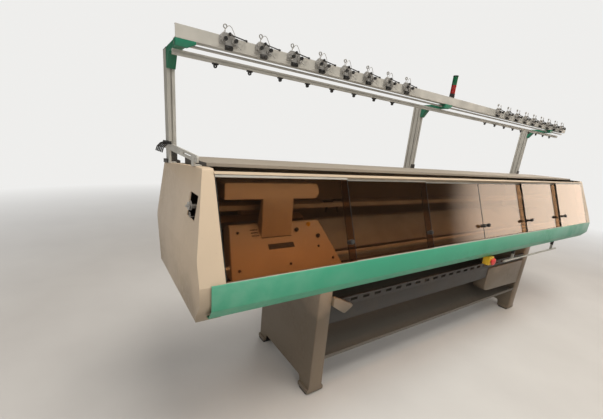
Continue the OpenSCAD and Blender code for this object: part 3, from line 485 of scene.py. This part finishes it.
def mm(x: float, y: float, z: float) -> Vector:
    """Turns millimetres into a vector in metres."""
    return Vector((x * MM, y * MM, z * MM))


def at(x: float, y: float, z: float) -> Vector:
    """Turns a place on the machine into a point of the frame.

    Args:
        x: Distance along the beds from their middle.
        y: Distance behind the front rail's face.
        z: Height over the floor.

    Returns:
        The point.
    """
    return mm(x - BEDS_MIDDLE, y - RAIL_FACE, z)


def facing(point: Vector, direction: Sequence[float]) -> Matrix:
    """Returns a frame at a point whose Z looks along a direction."""
    return Matrix.Translation(point) @ Vector(direction).to_track_quat("Z", "Y").to_matrix().to_4x4()


def circle(turns: int, steps: int) -> list[tuple[float, float, float]]:
    """Goes round a circle of radius 1 in steps: share of the way gone, place across and place up."""
    angles = [turns * math.tau * k / steps for k in range(steps + 1)]
    return [(k / steps, math.cos(angle), math.sin(angle)) for k, angle in enumerate(angles)]


def finish_piece(name: str, mesh: Mesh, slot: Slot, body: str = "frame", stands_for: str = "") -> None:
    """Turns a bmesh into a named piece that rides on a body.

    Args:
        name: Name of the piece.
        mesh: Its mesh, in the frame's coordinates; it is freed.
        slot: Slot that it takes its finish from.
        body: Body that it moves with.
        stands_for: Frame node that it replaces, if any.
    """
    data = bpy.data.meshes.new(name)
    mesh.to_mesh(data)
    mesh.free()
    for face in data.polygons:
        face.use_smooth = True
    data.set_sharp_from_angle(angle=math.radians(SHARP))
    data.materials.append(MATERIALS[slot])
    thing = bpy.data.objects.new(name, data)
    bpy.context.scene.collection.objects.link(thing)
    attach(thing, body)
    if stands_for:
        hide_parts(stands_for)
    LOG.info("%s: %d faces on %s", name, len(data.polygons), body)


def bevel(mesh: Mesh, edges: Iterable[Edge], width: float, segments: int = 2) -> None:
    """Rounds edges of a mesh.

    Args:
        mesh: The mesh.
        edges: Edges to round.
        width: Width of the rounding.
        segments: Faces across it.
    """
    bmesh.ops.bevel(mesh, geom=list(edges), offset=width * MM, offset_type="OFFSET", segments=segments,
                    profile=0.5, affect="EDGES", clamp_overlap=True, material=-1)


def is_ridge(edge: Edge, least: float = SHARP) -> bool:
    """Tells whether an edge is an outward one, sharper than the least angle."""
    return len(edge.link_faces) == 2 and edge.is_convex and edge.calc_face_angle(0.0) > math.radians(least)


def softened(node: str, width: float, chosen: Callable[[Edge], bool] = is_ridge, segments: int = 2) -> Mesh:
    """Copies a frame node's mesh with some of its sharp edges rounded.

    Args:
        node: Name of the node.
        width: Width of the rounding.
        chosen: Tells which edges are rounded.
        segments: Faces across a rounding.

    Returns:
        The rounded copy.
    """
    same_place = 0.00001
    same_plane = math.radians(1.0)
    mesh = bmesh.new()
    mesh.from_mesh(frame["nodes"][node].data)
    mesh.transform(frame["nodes"][node].matrix_world)
    bmesh.ops.remove_doubles(mesh, verts=mesh.verts, dist=same_place)
    bmesh.ops.dissolve_limit(mesh, angle_limit=same_plane, verts=mesh.verts, edges=mesh.edges)
    bmesh.ops.recalc_face_normals(mesh, faces=mesh.faces)
    bevel(mesh, [edge for edge in mesh.edges if chosen(edge)], width, segments)
    return mesh


def add_box(mesh: Mesh, low: Vector, high: Vector, width: float, place: Matrix = Matrix()) -> None:
    """Adds a box with rounded edges to a mesh.

    Args:
        mesh: The mesh.
        low: Least corner, in metres.
        high: Greatest corner.
        width: Width of the rounding.
        place: Frame that the corners are given in.
    """
    shape = place @ Matrix.Translation((low + high) / 2) @ Matrix.Diagonal((*(high - low), 1.0))
    made = bmesh.ops.create_cube(mesh, size=1.0, matrix=shape)["verts"]
    bevel(mesh, {edge for vert in made for edge in vert.link_edges}, width)


def face_outward(mesh: Mesh, verts: Iterable[bmesh.types.BMVert]) -> None:
    """Turns the faces round some vertices outward."""
    bmesh.ops.recalc_face_normals(mesh, faces=list({face for vert in verts for face in vert.link_faces}))


def add_turned(mesh: Mesh, profile: Profile, place: Matrix, steps: int) -> None:
    """Adds a turned shape to a mesh.

    Args:
        mesh: The mesh.
        profile: Radius and height of each point, from one end on the axis to the other.
        place: Frame whose Z is the axis.
        steps: Faces round it.
    """
    there = set(mesh.verts)
    verts = [mesh.verts.new(mm(radius, 0.0, height)) for radius, height in profile]
    edges = [mesh.edges.new(pair) for pair in zip(verts, verts[1:])]
    bmesh.ops.spin(mesh, geom=verts + edges, cent=(0, 0, 0), axis=(0, 0, 1), dvec=(0, 0, 0), angle=math.tau,
                   steps=steps, use_merge=True, use_duplicate=False)
    bmesh.ops.remove_doubles(mesh, verts=[vert for vert in mesh.verts if vert not in there], dist=0.001 * MM)
    made = [vert for vert in mesh.verts if vert not in there]
    bmesh.ops.transform(mesh, matrix=place, verts=made)
    face_outward(mesh, made)


def add_tube(mesh: Mesh, points: Sequence[Vector], radius: float, sides: int) -> None:
    """Adds a round wire along points to a mesh.

    Args:
        mesh: The mesh.
        points: Points of its middle line, in metres.
        radius: Its radius.
        sides: Faces round it.
    """
    last = len(points) - 1
    made = []
    rings = []
    for index, point in enumerate(points):
        before, after = points[max(index - 1, 0)], points[min(index + 1, last)]
        ring = bmesh.ops.create_circle(mesh, cap_ends=index in (0, last), segments=sides, radius=radius * MM,
                                       matrix=facing(point, after - before))["verts"]
        made += ring
        rings.append(list({edge for vert in ring for edge in vert.link_edges}))
    for ring, following in zip(rings, rings[1:]):
        bmesh.ops.bridge_loops(mesh, edges=ring + following)
    face_outward(mesh, made)


@dataclass(frozen=True)
class Casings:
    """Rounded copies of the frame's moulded, cast and folded pieces.

    Attributes:
        moulding: Width of the rounding on the end covers.
        casting: Width on the carriage.
        leg: Width on the pedestals.
        fold: Width on the front rail, and twice the width on the creel arms.
        steps: Faces across a wide rounding.
    """

    moulding: float = 11.0
    casting: float = 4.0
    leg: float = 8.0
    fold: float = 1.2
    steps: int = 3

    def round_end_covers(self) -> None:
        """Rounds the rim of both end covers' outer sides."""
        low, high = at(0, 158, 1198), at(0, 287, 1312)
        angle, outward, inward = 40.0, 0.7, 0.5

        def is_rim(edge: Edge, side: float) -> bool:
            """Tells whether an edge lies round the cover's outer side, away from its cut-out."""
            across = [face.normal.x * side for face in edge.link_faces]
            middle = (edge.verts[0].co + edge.verts[1].co) / 2
            in_cut = side < 0 and low.y < middle.y < high.y and low.z < middle.z < high.z
            return is_ridge(edge, angle) and max(across) > outward and min(across) < inward and not in_cut

        for node, side in (("left_end_cover", -1.0), ("right_end_cover", 1.0)):
            mesh = softened(node, self.moulding, partial(is_rim, side=side), self.steps)
            finish_piece(node + "_moulding", mesh, Slot.BEIGE, stands_for=node)

    def round_carriage(self) -> None:
        """Rounds the outer edges of the carriage's castings."""
        broad = 0.0055

        def is_outer(edge: Edge, centre: Vector) -> bool:
            """Tells whether a ridge lies between two broad faces that look away from the centre."""
            return is_ridge(edge) and all(
                face.calc_area() > broad and (face.calc_center_median() - centre).dot(face.normal) > 0
                for face in edge.link_faces)

        for node, share in (("carriage_crossbar", 1.4), ("carriage_bow", 1.0),
                            ("front_cam_housing", 1.0), ("rear_cam_housing", 1.0)):
            thing = frame["nodes"][node]
            corners = [thing.matrix_world @ Vector(corner) for corner in thing.bound_box]
            centre = sum(corners, Vector()) / len(corners)
            mesh = softened(node, share * self.casting, partial(is_outer, centre=centre), self.steps)
            finish_piece(node + "_casting", mesh, Slot.BEIGE, "carriage", node)

    def round_pedestals(self) -> None:
        """Rounds the long upright edges of both pedestals."""
        tall, upright = 100 * MM, 0.98

        def is_upright(edge: Edge) -> bool:
            """Tells whether a ridge stands upright and is long."""
            along = edge.verts[0].co - edge.verts[1].co
            return is_ridge(edge) and along.length > tall and abs(along.normalized().z) > upright

        for node in ("left_pedestal", "right_pedestal"):
            mesh = softened(node, self.leg, is_upright, self.steps)
            finish_piece(node + "_casting", mesh, Slot.BEIGE, stands_for=node)

    def round_green_pieces(self) -> None:
        """Rounds the folded rail and the creel arms."""
        longest_sharp = 20 * MM

        def is_long(edge: Edge) -> bool:
            """Tells whether a ridge is long enough to round."""
            return is_ridge(edge) and edge.calc_length() > longest_sharp

        rail = softened("front_rail", self.fold)
        arms = softened("creel_arms", 2 * self.fold, is_long)
        finish_piece("front_rail_folded", rail, Slot.GREEN, stands_for="front_rail")
        finish_piece("creel_arm_castings", arms, Slot.GREEN, stands_for="creel_arms")

    def build(self) -> None:
        """Makes every casing."""
        self.round_end_covers()
        self.round_carriage()
        self.round_pedestals()
        self.round_green_pieces()


@dataclass(frozen=True)
class Cover:
    """Trim of a sliding cover, placed on the slope that it stands on.

    Attributes:
        number: Number of the cover from the left, from 1.
        count: Number of covers.
        half: Half of the window's length.
        tilt: Tilt of the covers from upright.
        foot: Depth and height of the slope's foot.
        length: Length of a cover up its slope.
        sheet: Thickness of its sheet.
        step: Distance between two tracks.
        lap: How far neighbouring covers pass over each other.
        strip: Height of the strip along its top edge.
    """

    number: int
    count: int = 6
    half: float = 2008.0
    tilt: float = 21.6
    foot: tuple[float, float] = (10.5, 986.0)
    length: float = 432.0
    sheet: float = 4.0
    step: float = 22.0
    lap: float = 15.0
    strip: float = 10.0

    def place(self) -> Matrix:
        """Returns the sheet's frame: X along the beds, Y inward and Z up the slope."""
        depth = min(self.number - 1, self.count - self.number) * self.step
        turn = math.radians(self.tilt)
        origin = at(0, self.foot[0] + depth * math.cos(turn), self.foot[1] - depth * math.sin(turn))
        return Matrix.Translation(origin) @ Matrix.Rotation(-turn, 4, "X")

    def division(self, after: int) -> float:
        """Returns the place in the window where so many covers end."""
        return -self.half + after * 2 * self.half / self.count

    def edges(self) -> tuple[float, float]:
        """Returns the places of the cover's left and right edges."""
        middle, end_gap, middle_gap = self.count // 2, 2.0, 1.0
        left_in = {1: end_gap, middle + 1: middle_gap}.get(self.number, -self.lap)
        right_in = {self.count: end_gap, middle: middle_gap}.get(self.number, -self.lap)
        return self.division(self.number - 1) + left_in, self.division(self.number) - right_in

    def finish(self, trim: str, mesh: Mesh, slot: Slot, stands_for: str = "") -> None:
        """Finishes a piece of trim, which rides on the cover."""
        finish_piece(f"cover_{trim}_{self.number}", mesh, slot, f"sliding_cover_{self.number}", stands_for)

    def make_strip(self) -> None:
        """Makes the drawn strip and tongue along the top edge."""
        left, right = self.edges()
        mesh = bmesh.new()
        for proud, low, high, width in ((2.5, self.length - self.strip, self.length, 1.6),
                                        (-0.5, self.length - 1, self.length + 8, 0.6)):
            add_box(mesh, mm(left, -proud, low), mm(right, self.sheet + proud, high), width, self.place())
        self.finish("strip", mesh, Slot.ALUMINIUM, f"cover_fittings_{self.number}")

    def make_knob(self) -> None:
        """Makes the black knob, near the cover's edge on the side of the window's middle."""
        knob = ((0, -0.2), (10.5, -0.2), (10.5, 2.5), (7.6, 3.6), (7.2, 9.5), (9.6, 12.5), (12.4, 14.4),
                (13, 16.5), (13, 29), (12.2, 32), (10, 33.6), (5, 34), (4.2, 33), (0, 33))
        inward, up = 30.0, 106.0
        left_half = self.number <= self.count // 2
        x = self.division(self.number) - inward if left_half else self.division(self.number - 1) + inward
        outward = Matrix.Translation(mm(x, 0, up)) @ Matrix.Rotation(math.radians(90), 4, "X")
        mesh = bmesh.new()
        add_turned(mesh, knob, self.place() @ outward, steps=32)
        self.finish("knob", mesh, Slot.BLACK)

    def make_edging(self) -> None:
        """Makes the dark edging on both upright edges."""
        mesh = bmesh.new()
        left, right = self.edges()
        low, high, wide, proud = 14.0, self.length - self.strip, 3.0, 0.3
        for x in (left, right - wide):
            add_box(mesh, mm(x, -proud, low), mm(x + wide, self.sheet + proud, high), 0.4, self.place())
        self.finish("edging", mesh, Slot.BLACK)

    def build(self) -> None:
        """Makes the cover's trim."""
        self.make_strip()
        self.make_knob()
        self.make_edging()


@dataclass(frozen=True)
class Carriage:
    """Small things on the front cam housing.

    Attributes:
        slope: Slope of the housing's face.
        throat: Depth and height of the needle bed's upper edge.
        face: Distance of the housing's face from the bed.
    """

    slope: float = 46.0
    throat: tuple[float, float] = (461.0, 1120.0)
    face: float = 76.0

    def on_face(self, x: float, z: float) -> Matrix:
        """Finds a place on the housing's face.

        Args:
            x: Its place along the beds.
            z: Its height over the floor.

        Returns:
            Its frame: X along the beds, Y up the slope and Z outward.
        """
        turn = math.radians(self.slope)
        rise = z - self.throat[1] - self.face * math.cos(turn)
        y = self.throat[0] - self.face * math.sin(turn) + rise / math.tan(turn)
        return Matrix.Translation(at(x, y, z)) @ Matrix.Rotation(turn, 4, "X")

    def make_shadow_line_and_slots(self) -> None:
        """Makes the black strip at the bow's foot, a painted shadow where the bow meets the housing, and the
        slots beside it.
        """
        mesh = bmesh.new()
        # Painted shadow: a black strip where the bow's foot meets the housing's face.
        add_box(mesh, mm(-88, -5, -0.4), mm(88, -0.5, 1.2), 0.3, self.on_face(-1635, 1065))
        for z in (1098, 1086, 1074):
            add_box(mesh, mm(-20, -3, -0.4), mm(20, 3, 0.8), 0.3, self.on_face(-1752, z))
        finish_piece("carriage_shadow_line_and_slots", mesh, Slot.BLACK, "carriage")

    def make_plate(self) -> None:
        """Makes the bare dark plate under the bow."""
        mesh = bmesh.new()
        add_box(mesh, mm(-75, -15, -0.3), mm(75, 15, 1.4), 0.6, self.on_face(-1625, 1025))
        finish_piece("carriage_plate", mesh, Slot.IRON, "carriage")

    def make_knobs(self) -> None:
        """Makes the setting knobs and screws of the housing."""
        knob = ((0, 0), (12, 0), (12.5, 2), (11, 3), (10.4, 12), (9, 14), (0, 14))
        screw = ((0, 0), (7, 0), (7, 3.6), (6, 4.8), (3, 4.8), (2.8, 2.6), (0, 2.6))
        knobs_at = ((-1383, 1050), (-1507, 1084))
        screws_at = ((-1402, 1006), (-1840, 1090), (-1880, 950), (-1335, 950), (-1606, 950))
        mesh = bmesh.new()
        for profile, places in ((knob, knobs_at), (screw, screws_at)):
            for x, z in places:
                add_turned(mesh, profile, self.on_face(x, z), steps=24)
        finish_piece("carriage_knobs", mesh, Slot.BLACK, "carriage")

    def build(self) -> None:
        """Makes every small thing on the carriage."""
        self.make_shadow_line_and_slots()
        self.make_plate()
        self.make_knobs()


@dataclass(frozen=True)
class Creel:
    """Fine pieces of the yarn creel.

    Attributes:
        front: Depth of the creel rail's face.
        top: Height of the posts' tops.
        pitch: Distance between two tensioners.
        rows: Place of the first tensioner and number of tensioners, on the left and on the right.
        disc_side: Distance of a tensioner's two discs from its middle.
        disc_up: Height of the discs over the posts' tops.
        stop_up: Height of the stop arm's pivot over them.
    """

    front: float = 594.0
    top: float = 1936.0
    pitch: float = 186.0
    rows: tuple[tuple[float, int], ...] = ((-1808.0, 8), (781.55, 9))
    disc_side: float = 25.76
    disc_up: float = 36.4
    stop_up: float = 62.2

    def places(self) -> list[float]:
        """Returns the tensioners' places along the rail."""
        return [start + index * self.pitch for start, count in self.rows for index in range(count)]

    def make_knobs(self) -> None:
        """Makes the black adjusting knobs and caps of the tensioners."""
        knob = ((0, -0.5), (8.9, -0.5), (9.1, 1.5), (9.1, 9), (8.2, 11.2), (4, 12), (0, 12))
        cap = ((0, 0), (7.5, 0), (7.5, 3), (6, 4.5), (0, 4.5))
        mesh = bmesh.new()
        forward = (0, -1, 0)
        knob_out, cap_out = 31.5, 20.6
        for x in self.places():
            for side in (-self.disc_side, self.disc_side):
                place = facing(at(x + side, self.front - knob_out, self.top + self.disc_up), forward)
                add_turned(mesh, knob, place, steps=20)
            place = facing(at(x, self.front - cap_out, self.top + self.stop_up), forward)
            add_turned(mesh, cap, place, steps=20)
        finish_piece("tensioner_knobs", mesh, Slot.BLACK)

    def add_coils(self, mesh: Mesh, x: float) -> None:
        """Adds the coil springs behind the knobs of the tensioner at x."""
        radius, start, length = 5.4, self.front - 15.2, 14.5
        z = self.top + self.disc_up
        for side in (-self.disc_side, self.disc_side):
            coil = [at(x + side + radius * across, start - length * share, z + radius * up)
                    for share, across, up in circle(turns=5, steps=50)]
            add_tube(mesh, coil, radius=0.9, sides=6)

    def add_wires(self, mesh: Mesh, x: float) -> None:
        """Adds the compensating arm and the two guide wires of the tensioner at x."""
        y, z = self.front - 8, self.top
        arm = [at(x + 30 - 10 * k, y - 3 * k, z + 64 + 34 * math.sin(k / 2)) for k in range(9)]
        ring, open_eye = 7.0, circle(turns=1, steps=16)[:-2]
        eye = [at(x - 50 + ring * across, y - 24, z + 38 + ring * up) for _, across, up in open_eye]
        stem = [at(x - 40, y + 3, z + 26), at(x - 46, y - 18, z + 30)]
        low = [at(x + 44 + 2 * k, y - 7 * k, z + 24 - 5 * k) for k in range(5)]
        add_tube(mesh, arm, radius=1.5, sides=8)
        add_tube(mesh, stem + eye, radius=1.4, sides=8)
        add_tube(mesh, low, radius=1.4, sides=8)

    def make_springs(self) -> None:
        """Makes the tensioners' springs and wires."""
        mesh = bmesh.new()
        for x in self.places():
            self.add_coils(mesh, x)
            self.add_wires(mesh, x)
        finish_piece("tensioner_springs", mesh, Slot.STEEL)

    def make_stop_sleeves(self) -> None:
        """Makes the dark sleeves and tips of the stop arms."""
        tip = ((0, -1), (4.6, -1), (5.2, 0.5), (5.2, 7), (4, 8.6), (0, 8.6))
        sleeve_start, arm_end, joint = 12.0, 82.8, 0.97
        mesh = bmesh.new()
        turn = math.radians(96.0)
        along = Vector((math.sin(turn), 0, math.cos(turn)))
        for x in self.places():
            start = at(x, self.front - 15, self.top + self.stop_up)
            ends = [start + along * reach * MM for reach in (sleeve_start, joint * arm_end)]
            add_tube(mesh, ends, radius=2.9, sides=12)
            add_turned(mesh, tip, facing(start + along * (arm_end - 1) * MM, along), steps=18)
        finish_piece("stop_arm_sleeves", mesh, Slot.IRON)

    def make_post_caps(self) -> None:
        """Makes the dark caps on the posts' tops."""
        half, front, back = 20.6, 815.4, 896.6
        mesh = bmesh.new()
        for x in (-2030, 0, 2030):
            add_box(mesh, at(x - half, front, self.top - 0.2), at(x + half, back, self.top + 2.6), width=0.8)
        finish_piece("post_caps", mesh, Slot.BLACK)

    def make_side_fingers(self) -> None:
        """Makes the black spring fingers on the outer face of the side bar."""
        mesh = bmesh.new()
        collar = ((0, 0), (8, 0), (8, 7), (0, 7))
        for y in (700, 745, 790, 835, 880):
            line = [at(-2058, y, 1480), at(-2080, y + 4, 1472), at(-2097, y + 8, 1453),
                    at(-2104, y + 10, 1430)]
            add_tube(mesh, line, radius=3.2, sides=10)
            add_turned(mesh, collar, facing(at(-2060, y, 1480), (-1, 0, 0)), steps=14)
        finish_piece("side_fingers", mesh, Slot.BLACK)

    def make_side_loops(self) -> None:
        """Makes the wire loops and spring of the side tensioner, in the left end cover's cut-out."""
        mesh = bmesh.new()
        ring, lowest = 9.0, 15
        for y, z in ((196, 1272), (246, 1250), (214, 1222)):
            loop = [at(-2092, y + ring * across, z + ring * up) for _, across, up in circle(1, 20)[:-1]]
            stem = [at(-2030, y, z - ring), at(-2075, y, z - ring)]
            add_tube(mesh, stem + loop[lowest:] + loop[:lowest], radius=1.5, sides=8)
        radius, length = 7.0, 34.0
        coil = [at(-2046 - length * share, 222.5 + radius * across, 1255 + radius * up)
                for share, across, up in circle(turns=6, steps=72)]
        add_tube(mesh, coil, radius=1.0, sides=6)
        finish_piece("side_loops", mesh, Slot.STEEL)

    def build(self) -> None:
        """Makes every fine piece of the creel."""
        self.make_side_loops()
        self.make_knobs()
        self.make_springs()
        self.make_stop_sleeves()
        self.make_post_caps()
        self.make_side_fingers()


@dataclass(frozen=True)
class Underside:
    """Pieces under the front rail.

    Attributes:
        span: Distance of the pedestals' inner faces from the beds' middle.
        front: Depth of the pedestals' fronts.
        case_left: Left side of the drive case.
    """

    span: float = 1271.0
    front: float = 223.0
    case_left: float = 591.0

    def make_guard_skirt(self) -> None:
        """Makes the plate that closes the front below the take-down guard, with its folded lower edge."""
        mesh = bmesh.new()
        low, high, sheet, fold = 490.0, 598.0, 2.0, 20.0
        face, right = self.front + 7, self.case_left - sheet
        corner = at(-self.span, face, low)
        add_box(mesh, corner, at(right, face + sheet, high), width=0.4)
        add_box(mesh, corner, at(right, face + fold, low + sheet), width=0.4)
        finish_piece("guard_skirt", mesh, Slot.IRON)

    def prism(self, outline: Profile, front: float, back: float, width: float) -> Mesh:
        """Extrudes an outline seen from the front and rounds its edges.

        Args:
            outline: Points along the beds and by height.
            front: Depth of its front.
            back: Depth of its back.
            width: Width of the rounding.

        Returns:
            The solid's mesh.
        """
        mesh = bmesh.new()
        face = mesh.faces.new([mesh.verts.new(at(x, front, z)) for x, z in outline])
        made = bmesh.ops.extrude_face_region(mesh, geom=[face])["geom"]
        moved = [part for part in made if isinstance(part, bmesh.types.BMVert)]
        bmesh.ops.translate(mesh, verts=moved, vec=mm(0, back - front, 0))
        bmesh.ops.recalc_face_normals(mesh, faces=mesh.faces)
        bevel(mesh, [edge for edge in mesh.edges if is_ridge(edge, 50.0)], width)
        return mesh

    def make_bracket(self) -> None:
        """Makes the angled bracket on the left pedestal's inner face."""
        outline = ((-1274, 625), (-1194, 569), (-1181, 562), (-1172, 563), (-1122, 592), (-1117, 602),
                   (-1122, 611), (-1251, 678), (-1274, 682))
        front, back = self.front - 24, self.front + 5
        mesh = self.prism(outline, front, back, width=3.0)
        finish_piece("pedestal_bracket", mesh, Slot.BEIGE)

    def make_drive_case(self) -> None:
        """Makes the drive box's rounded case beside the right pedestal."""
        left, right, lowest, top, depth = self.case_left, self.span, 328.0, 582.0, 110.0
        radius, centre_up, chamfer = 70.0, 420.0, 10.0
        corner = [(left + radius - radius * math.sin(angle), centre_up - radius * math.cos(angle))
                  for angle in (math.radians(9 * k) for k in range(11))]
        outline = [(right, lowest), *corner, (left, top - chamfer), (left + chamfer, top), (right, top)]
        mesh = self.prism(outline, self.front, self.front + depth, width=5.0)
        finish_piece("drive_case", mesh, Slot.BEIGE, stands_for="drive_box")

    def make_bolts(self) -> None:
        """Makes the cap screws on the pedestals' fronts."""
        bolt = ((0, 0), (8.5, 0), (8.5, 1.2), (6.4, 1.4), (6.4, 6.4), (5.6, 7.4), (3.4, 7.4), (3.2, 4),
                (0, 4))
        mesh = bmesh.new()
        leg_middle, apart, height = self.span + 48.5, 30.0, 800.0
        for leg in (-leg_middle, leg_middle):
            for x in (leg - apart, leg + apart):
                add_turned(mesh, bolt, facing(at(x, self.front, height), (0, -1, 0)), steps=18)
        finish_piece("pedestal_screws", mesh, Slot.STEEL)

    def make_stop_cap(self) -> None:
        """Makes the mushroom head of the emergency stop."""
        head = ((0, 0), (13, 0), (22, 2.2), (27, 6.5), (28, 10), (27, 13.5), (20, 15), (11, 15.5), (11, 44),
                (0, 44))
        front_middle = at(94, -12, 803)
        mesh = bmesh.new()
        add_turned(mesh, head, facing(front_middle, (0, 1, 0)), steps=40)
        finish_piece("stop_cap", mesh, Slot.RED, "stop_button", "estop_button")

    def build(self) -> None:
        """Makes every piece under the rail."""
        self.make_guard_skirt()
        self.make_bracket()
        self.make_drive_case()
        self.make_bolts()
        self.make_stop_cap()


@dataclass(frozen=True)
class Lamp:
    """A square area lamp that mirrors don't show.

    Attributes:
        name: Its name.
        place: Where it hangs, in metres.
        target: Point that it faces.
        size: Its width.
        power: Its power in watts.
        colour: Its colour.
    """

    name: str
    place: tuple[float, float, float]
    target: tuple[float, float, float]
    size: float
    power: float
    colour: Colour

    def hang(self) -> None:
        """Adds the lamp to the scene."""
        data = bpy.data.lights.new(self.name, "AREA")
        data.shape = "SQUARE"
        data.size = self.size
        data.energy = self.power
        data.color = self.colour
        lamp = bpy.data.objects.new(self.name, data)
        lamp.location = self.place
        lamp.rotation_euler = (Vector(self.target) - Vector(self.place)).to_track_quat("-Z", "Y").to_euler()
        lamp.visible_glossy = False
        bpy.context.scene.collection.objects.link(lamp)


@dataclass(frozen=True)
class Studio:
    """Floor, surround, lamps and camera, in metres.

    Attributes:
        eye: Place of the camera.
        yaw: Direction of its view from +X.
        pitch: Angle of its view above the level.
        roll: Turn about its view.
        lens: Focal length in millimetres, for a picture 36 mm wide.
        shift: Shift of the picture, as shares of its width.
        lamps: The lamps.
    """

    eye: tuple[float, float, float] = (-2.558, -1.500, 1.529)
    yaw: float = 56.07
    pitch: float = -16.31
    roll: float = 5.18
    lens: float = 18.57
    shift: tuple[float, float] = (0.0036, 0.0436)
    lamps: tuple[Lamp, ...] = (
        Lamp("key", (-0.6, -1.5, 5.6), (0.0, 0.0, 1.0), 3.4, 330.0, (1.0, 0.97, 0.93)),
        Lamp("front_fill", (-2.4, -4.6, 2.6), (-0.4, -0.4, 1.1), 2.0, 46.0, (1.0, 0.98, 0.96)),
        Lamp("left_fill", (-6.0, -0.8, 4.2), (-2.0, 0.0, 1.2), 2.6, 70.0, (1.0, 0.98, 0.96)),
        Lamp("back_rim", (2.5, 4.5, 4.2), (0.5, 0.0, 1.3), 3.5, 110.0, (0.97, 0.98, 1.0)),
    )

    def place_camera(self) -> None:
        """Adds the camera at the photograph's angle."""
        data = bpy.data.cameras.new("photo_camera")
        data.sensor_fit = "HORIZONTAL"
        data.sensor_width = 36.0
        data.lens = self.lens
        data.shift_x, data.shift_y = self.shift
        camera = bpy.data.objects.new("photo_camera", data)
        turn = (Matrix.Rotation(math.radians(self.yaw - 90), 4, "Z")
                @ Matrix.Rotation(math.radians(90 + self.pitch), 4, "X")
                @ Matrix.Rotation(math.radians(self.roll), 4, "Z"))
        camera.matrix_world = Matrix.Translation(self.eye) @ turn
        bpy.context.scene.collection.objects.link(camera)
        bpy.context.scene.camera = camera

    def floor_material(self) -> bpy.types.Material:
        """Returns the floor's pale material, which fades into the background far out."""
        surface = Surface("pale_floor")
        tone = surface.spread(surface.noise(surface.where, scale=1.2, detail=4.0), low=0.3, high=0.7)
        surface.give("Base Color", surface.blend(tone, (0.50, 0.475, 0.445), (0.56, 0.535, 0.50)))
        surface.give("Roughness", 0.55)
        glow = surface.add("Emission", {"Color": BACKGROUND})
        far = surface.add("VectorMath", {0: surface.where}, operation="LENGTH")
        faded = surface.spread(far.outputs["Value"], low=3.5, high=9.0)
        surface.show(surface.mix(faded, surface.shader.outputs[0], glow.outputs[0]))
        return surface.material

    def lay_floor(self) -> None:
        """Adds a wide round floor."""
        mesh = bmesh.new()
        bmesh.ops.create_circle(mesh, cap_ends=True, segments=96, radius=60.0)
        data = bpy.data.meshes.new("floor")
        mesh.to_mesh(data)
        mesh.free()
        data.materials.append(self.floor_material())
        floor = bpy.data.objects.new("floor", data)
        bpy.context.scene.collection.objects.link(floor)

    def light_world(self) -> None:
        """Sets a soft surround: pale to the camera, dark in mirrors but for a bright wall to the right."""
        world = bpy.data.worlds.new("studio")
        world.use_nodes = True
        bpy.context.scene.world = world
        graph = Graph(world.node_tree)
        ambient = graph.tree.nodes["Background"]
        seen, mirrored = graph.add("Background"), graph.add("Background")
        sideways = graph.split(graph.add("TexCoord").outputs["Generated"])[0]
        dark, bright = (0.07, 0.055, 0.045), (2.9, 2.45, 2.05)
        wall = graph.blend(graph.spread(sideways, low=0.85, high=0.89), dark, bright)
        for node, colour in ((ambient, (1.0, 0.985, 0.96)), (seen, BACKGROUND), (mirrored, wall)):
            graph.feed(node.inputs["Color"], colour)
        graph.feed(ambient.inputs["Strength"], 0.30)
        path = graph.add("LightPath").outputs
        glossy = graph.mix(path["Is Glossy Ray"], ambient.outputs[0], mirrored.outputs[0])
        whole = graph.mix(path["Is Camera Ray"], glossy, seen.outputs[0])
        graph.join(whole, graph.tree.nodes["World Output"].inputs["Surface"])

    def build(self) -> None:
        """Makes the whole studio."""
        self.place_camera()
        self.lay_floor()
        self.light_world()
        for lamp in self.lamps:
            lamp.hang()
        bpy.context.scene.view_settings.view_transform = "Standard"
        LOG.info("studio built")


def main() -> None:
    """Builds the dressed machine piece by piece."""
    logging.basicConfig(level=logging.INFO, format="%(name)s: %(message)s")
    Studio().build()
    dress_frame()
    covers = (Cover(number) for number in range(1, Cover.count + 1))
    for assembly in (Casings(), *covers, Carriage(), Creel(), Underside()):
        assembly.build()


if __name__ == "__main__":
    main()
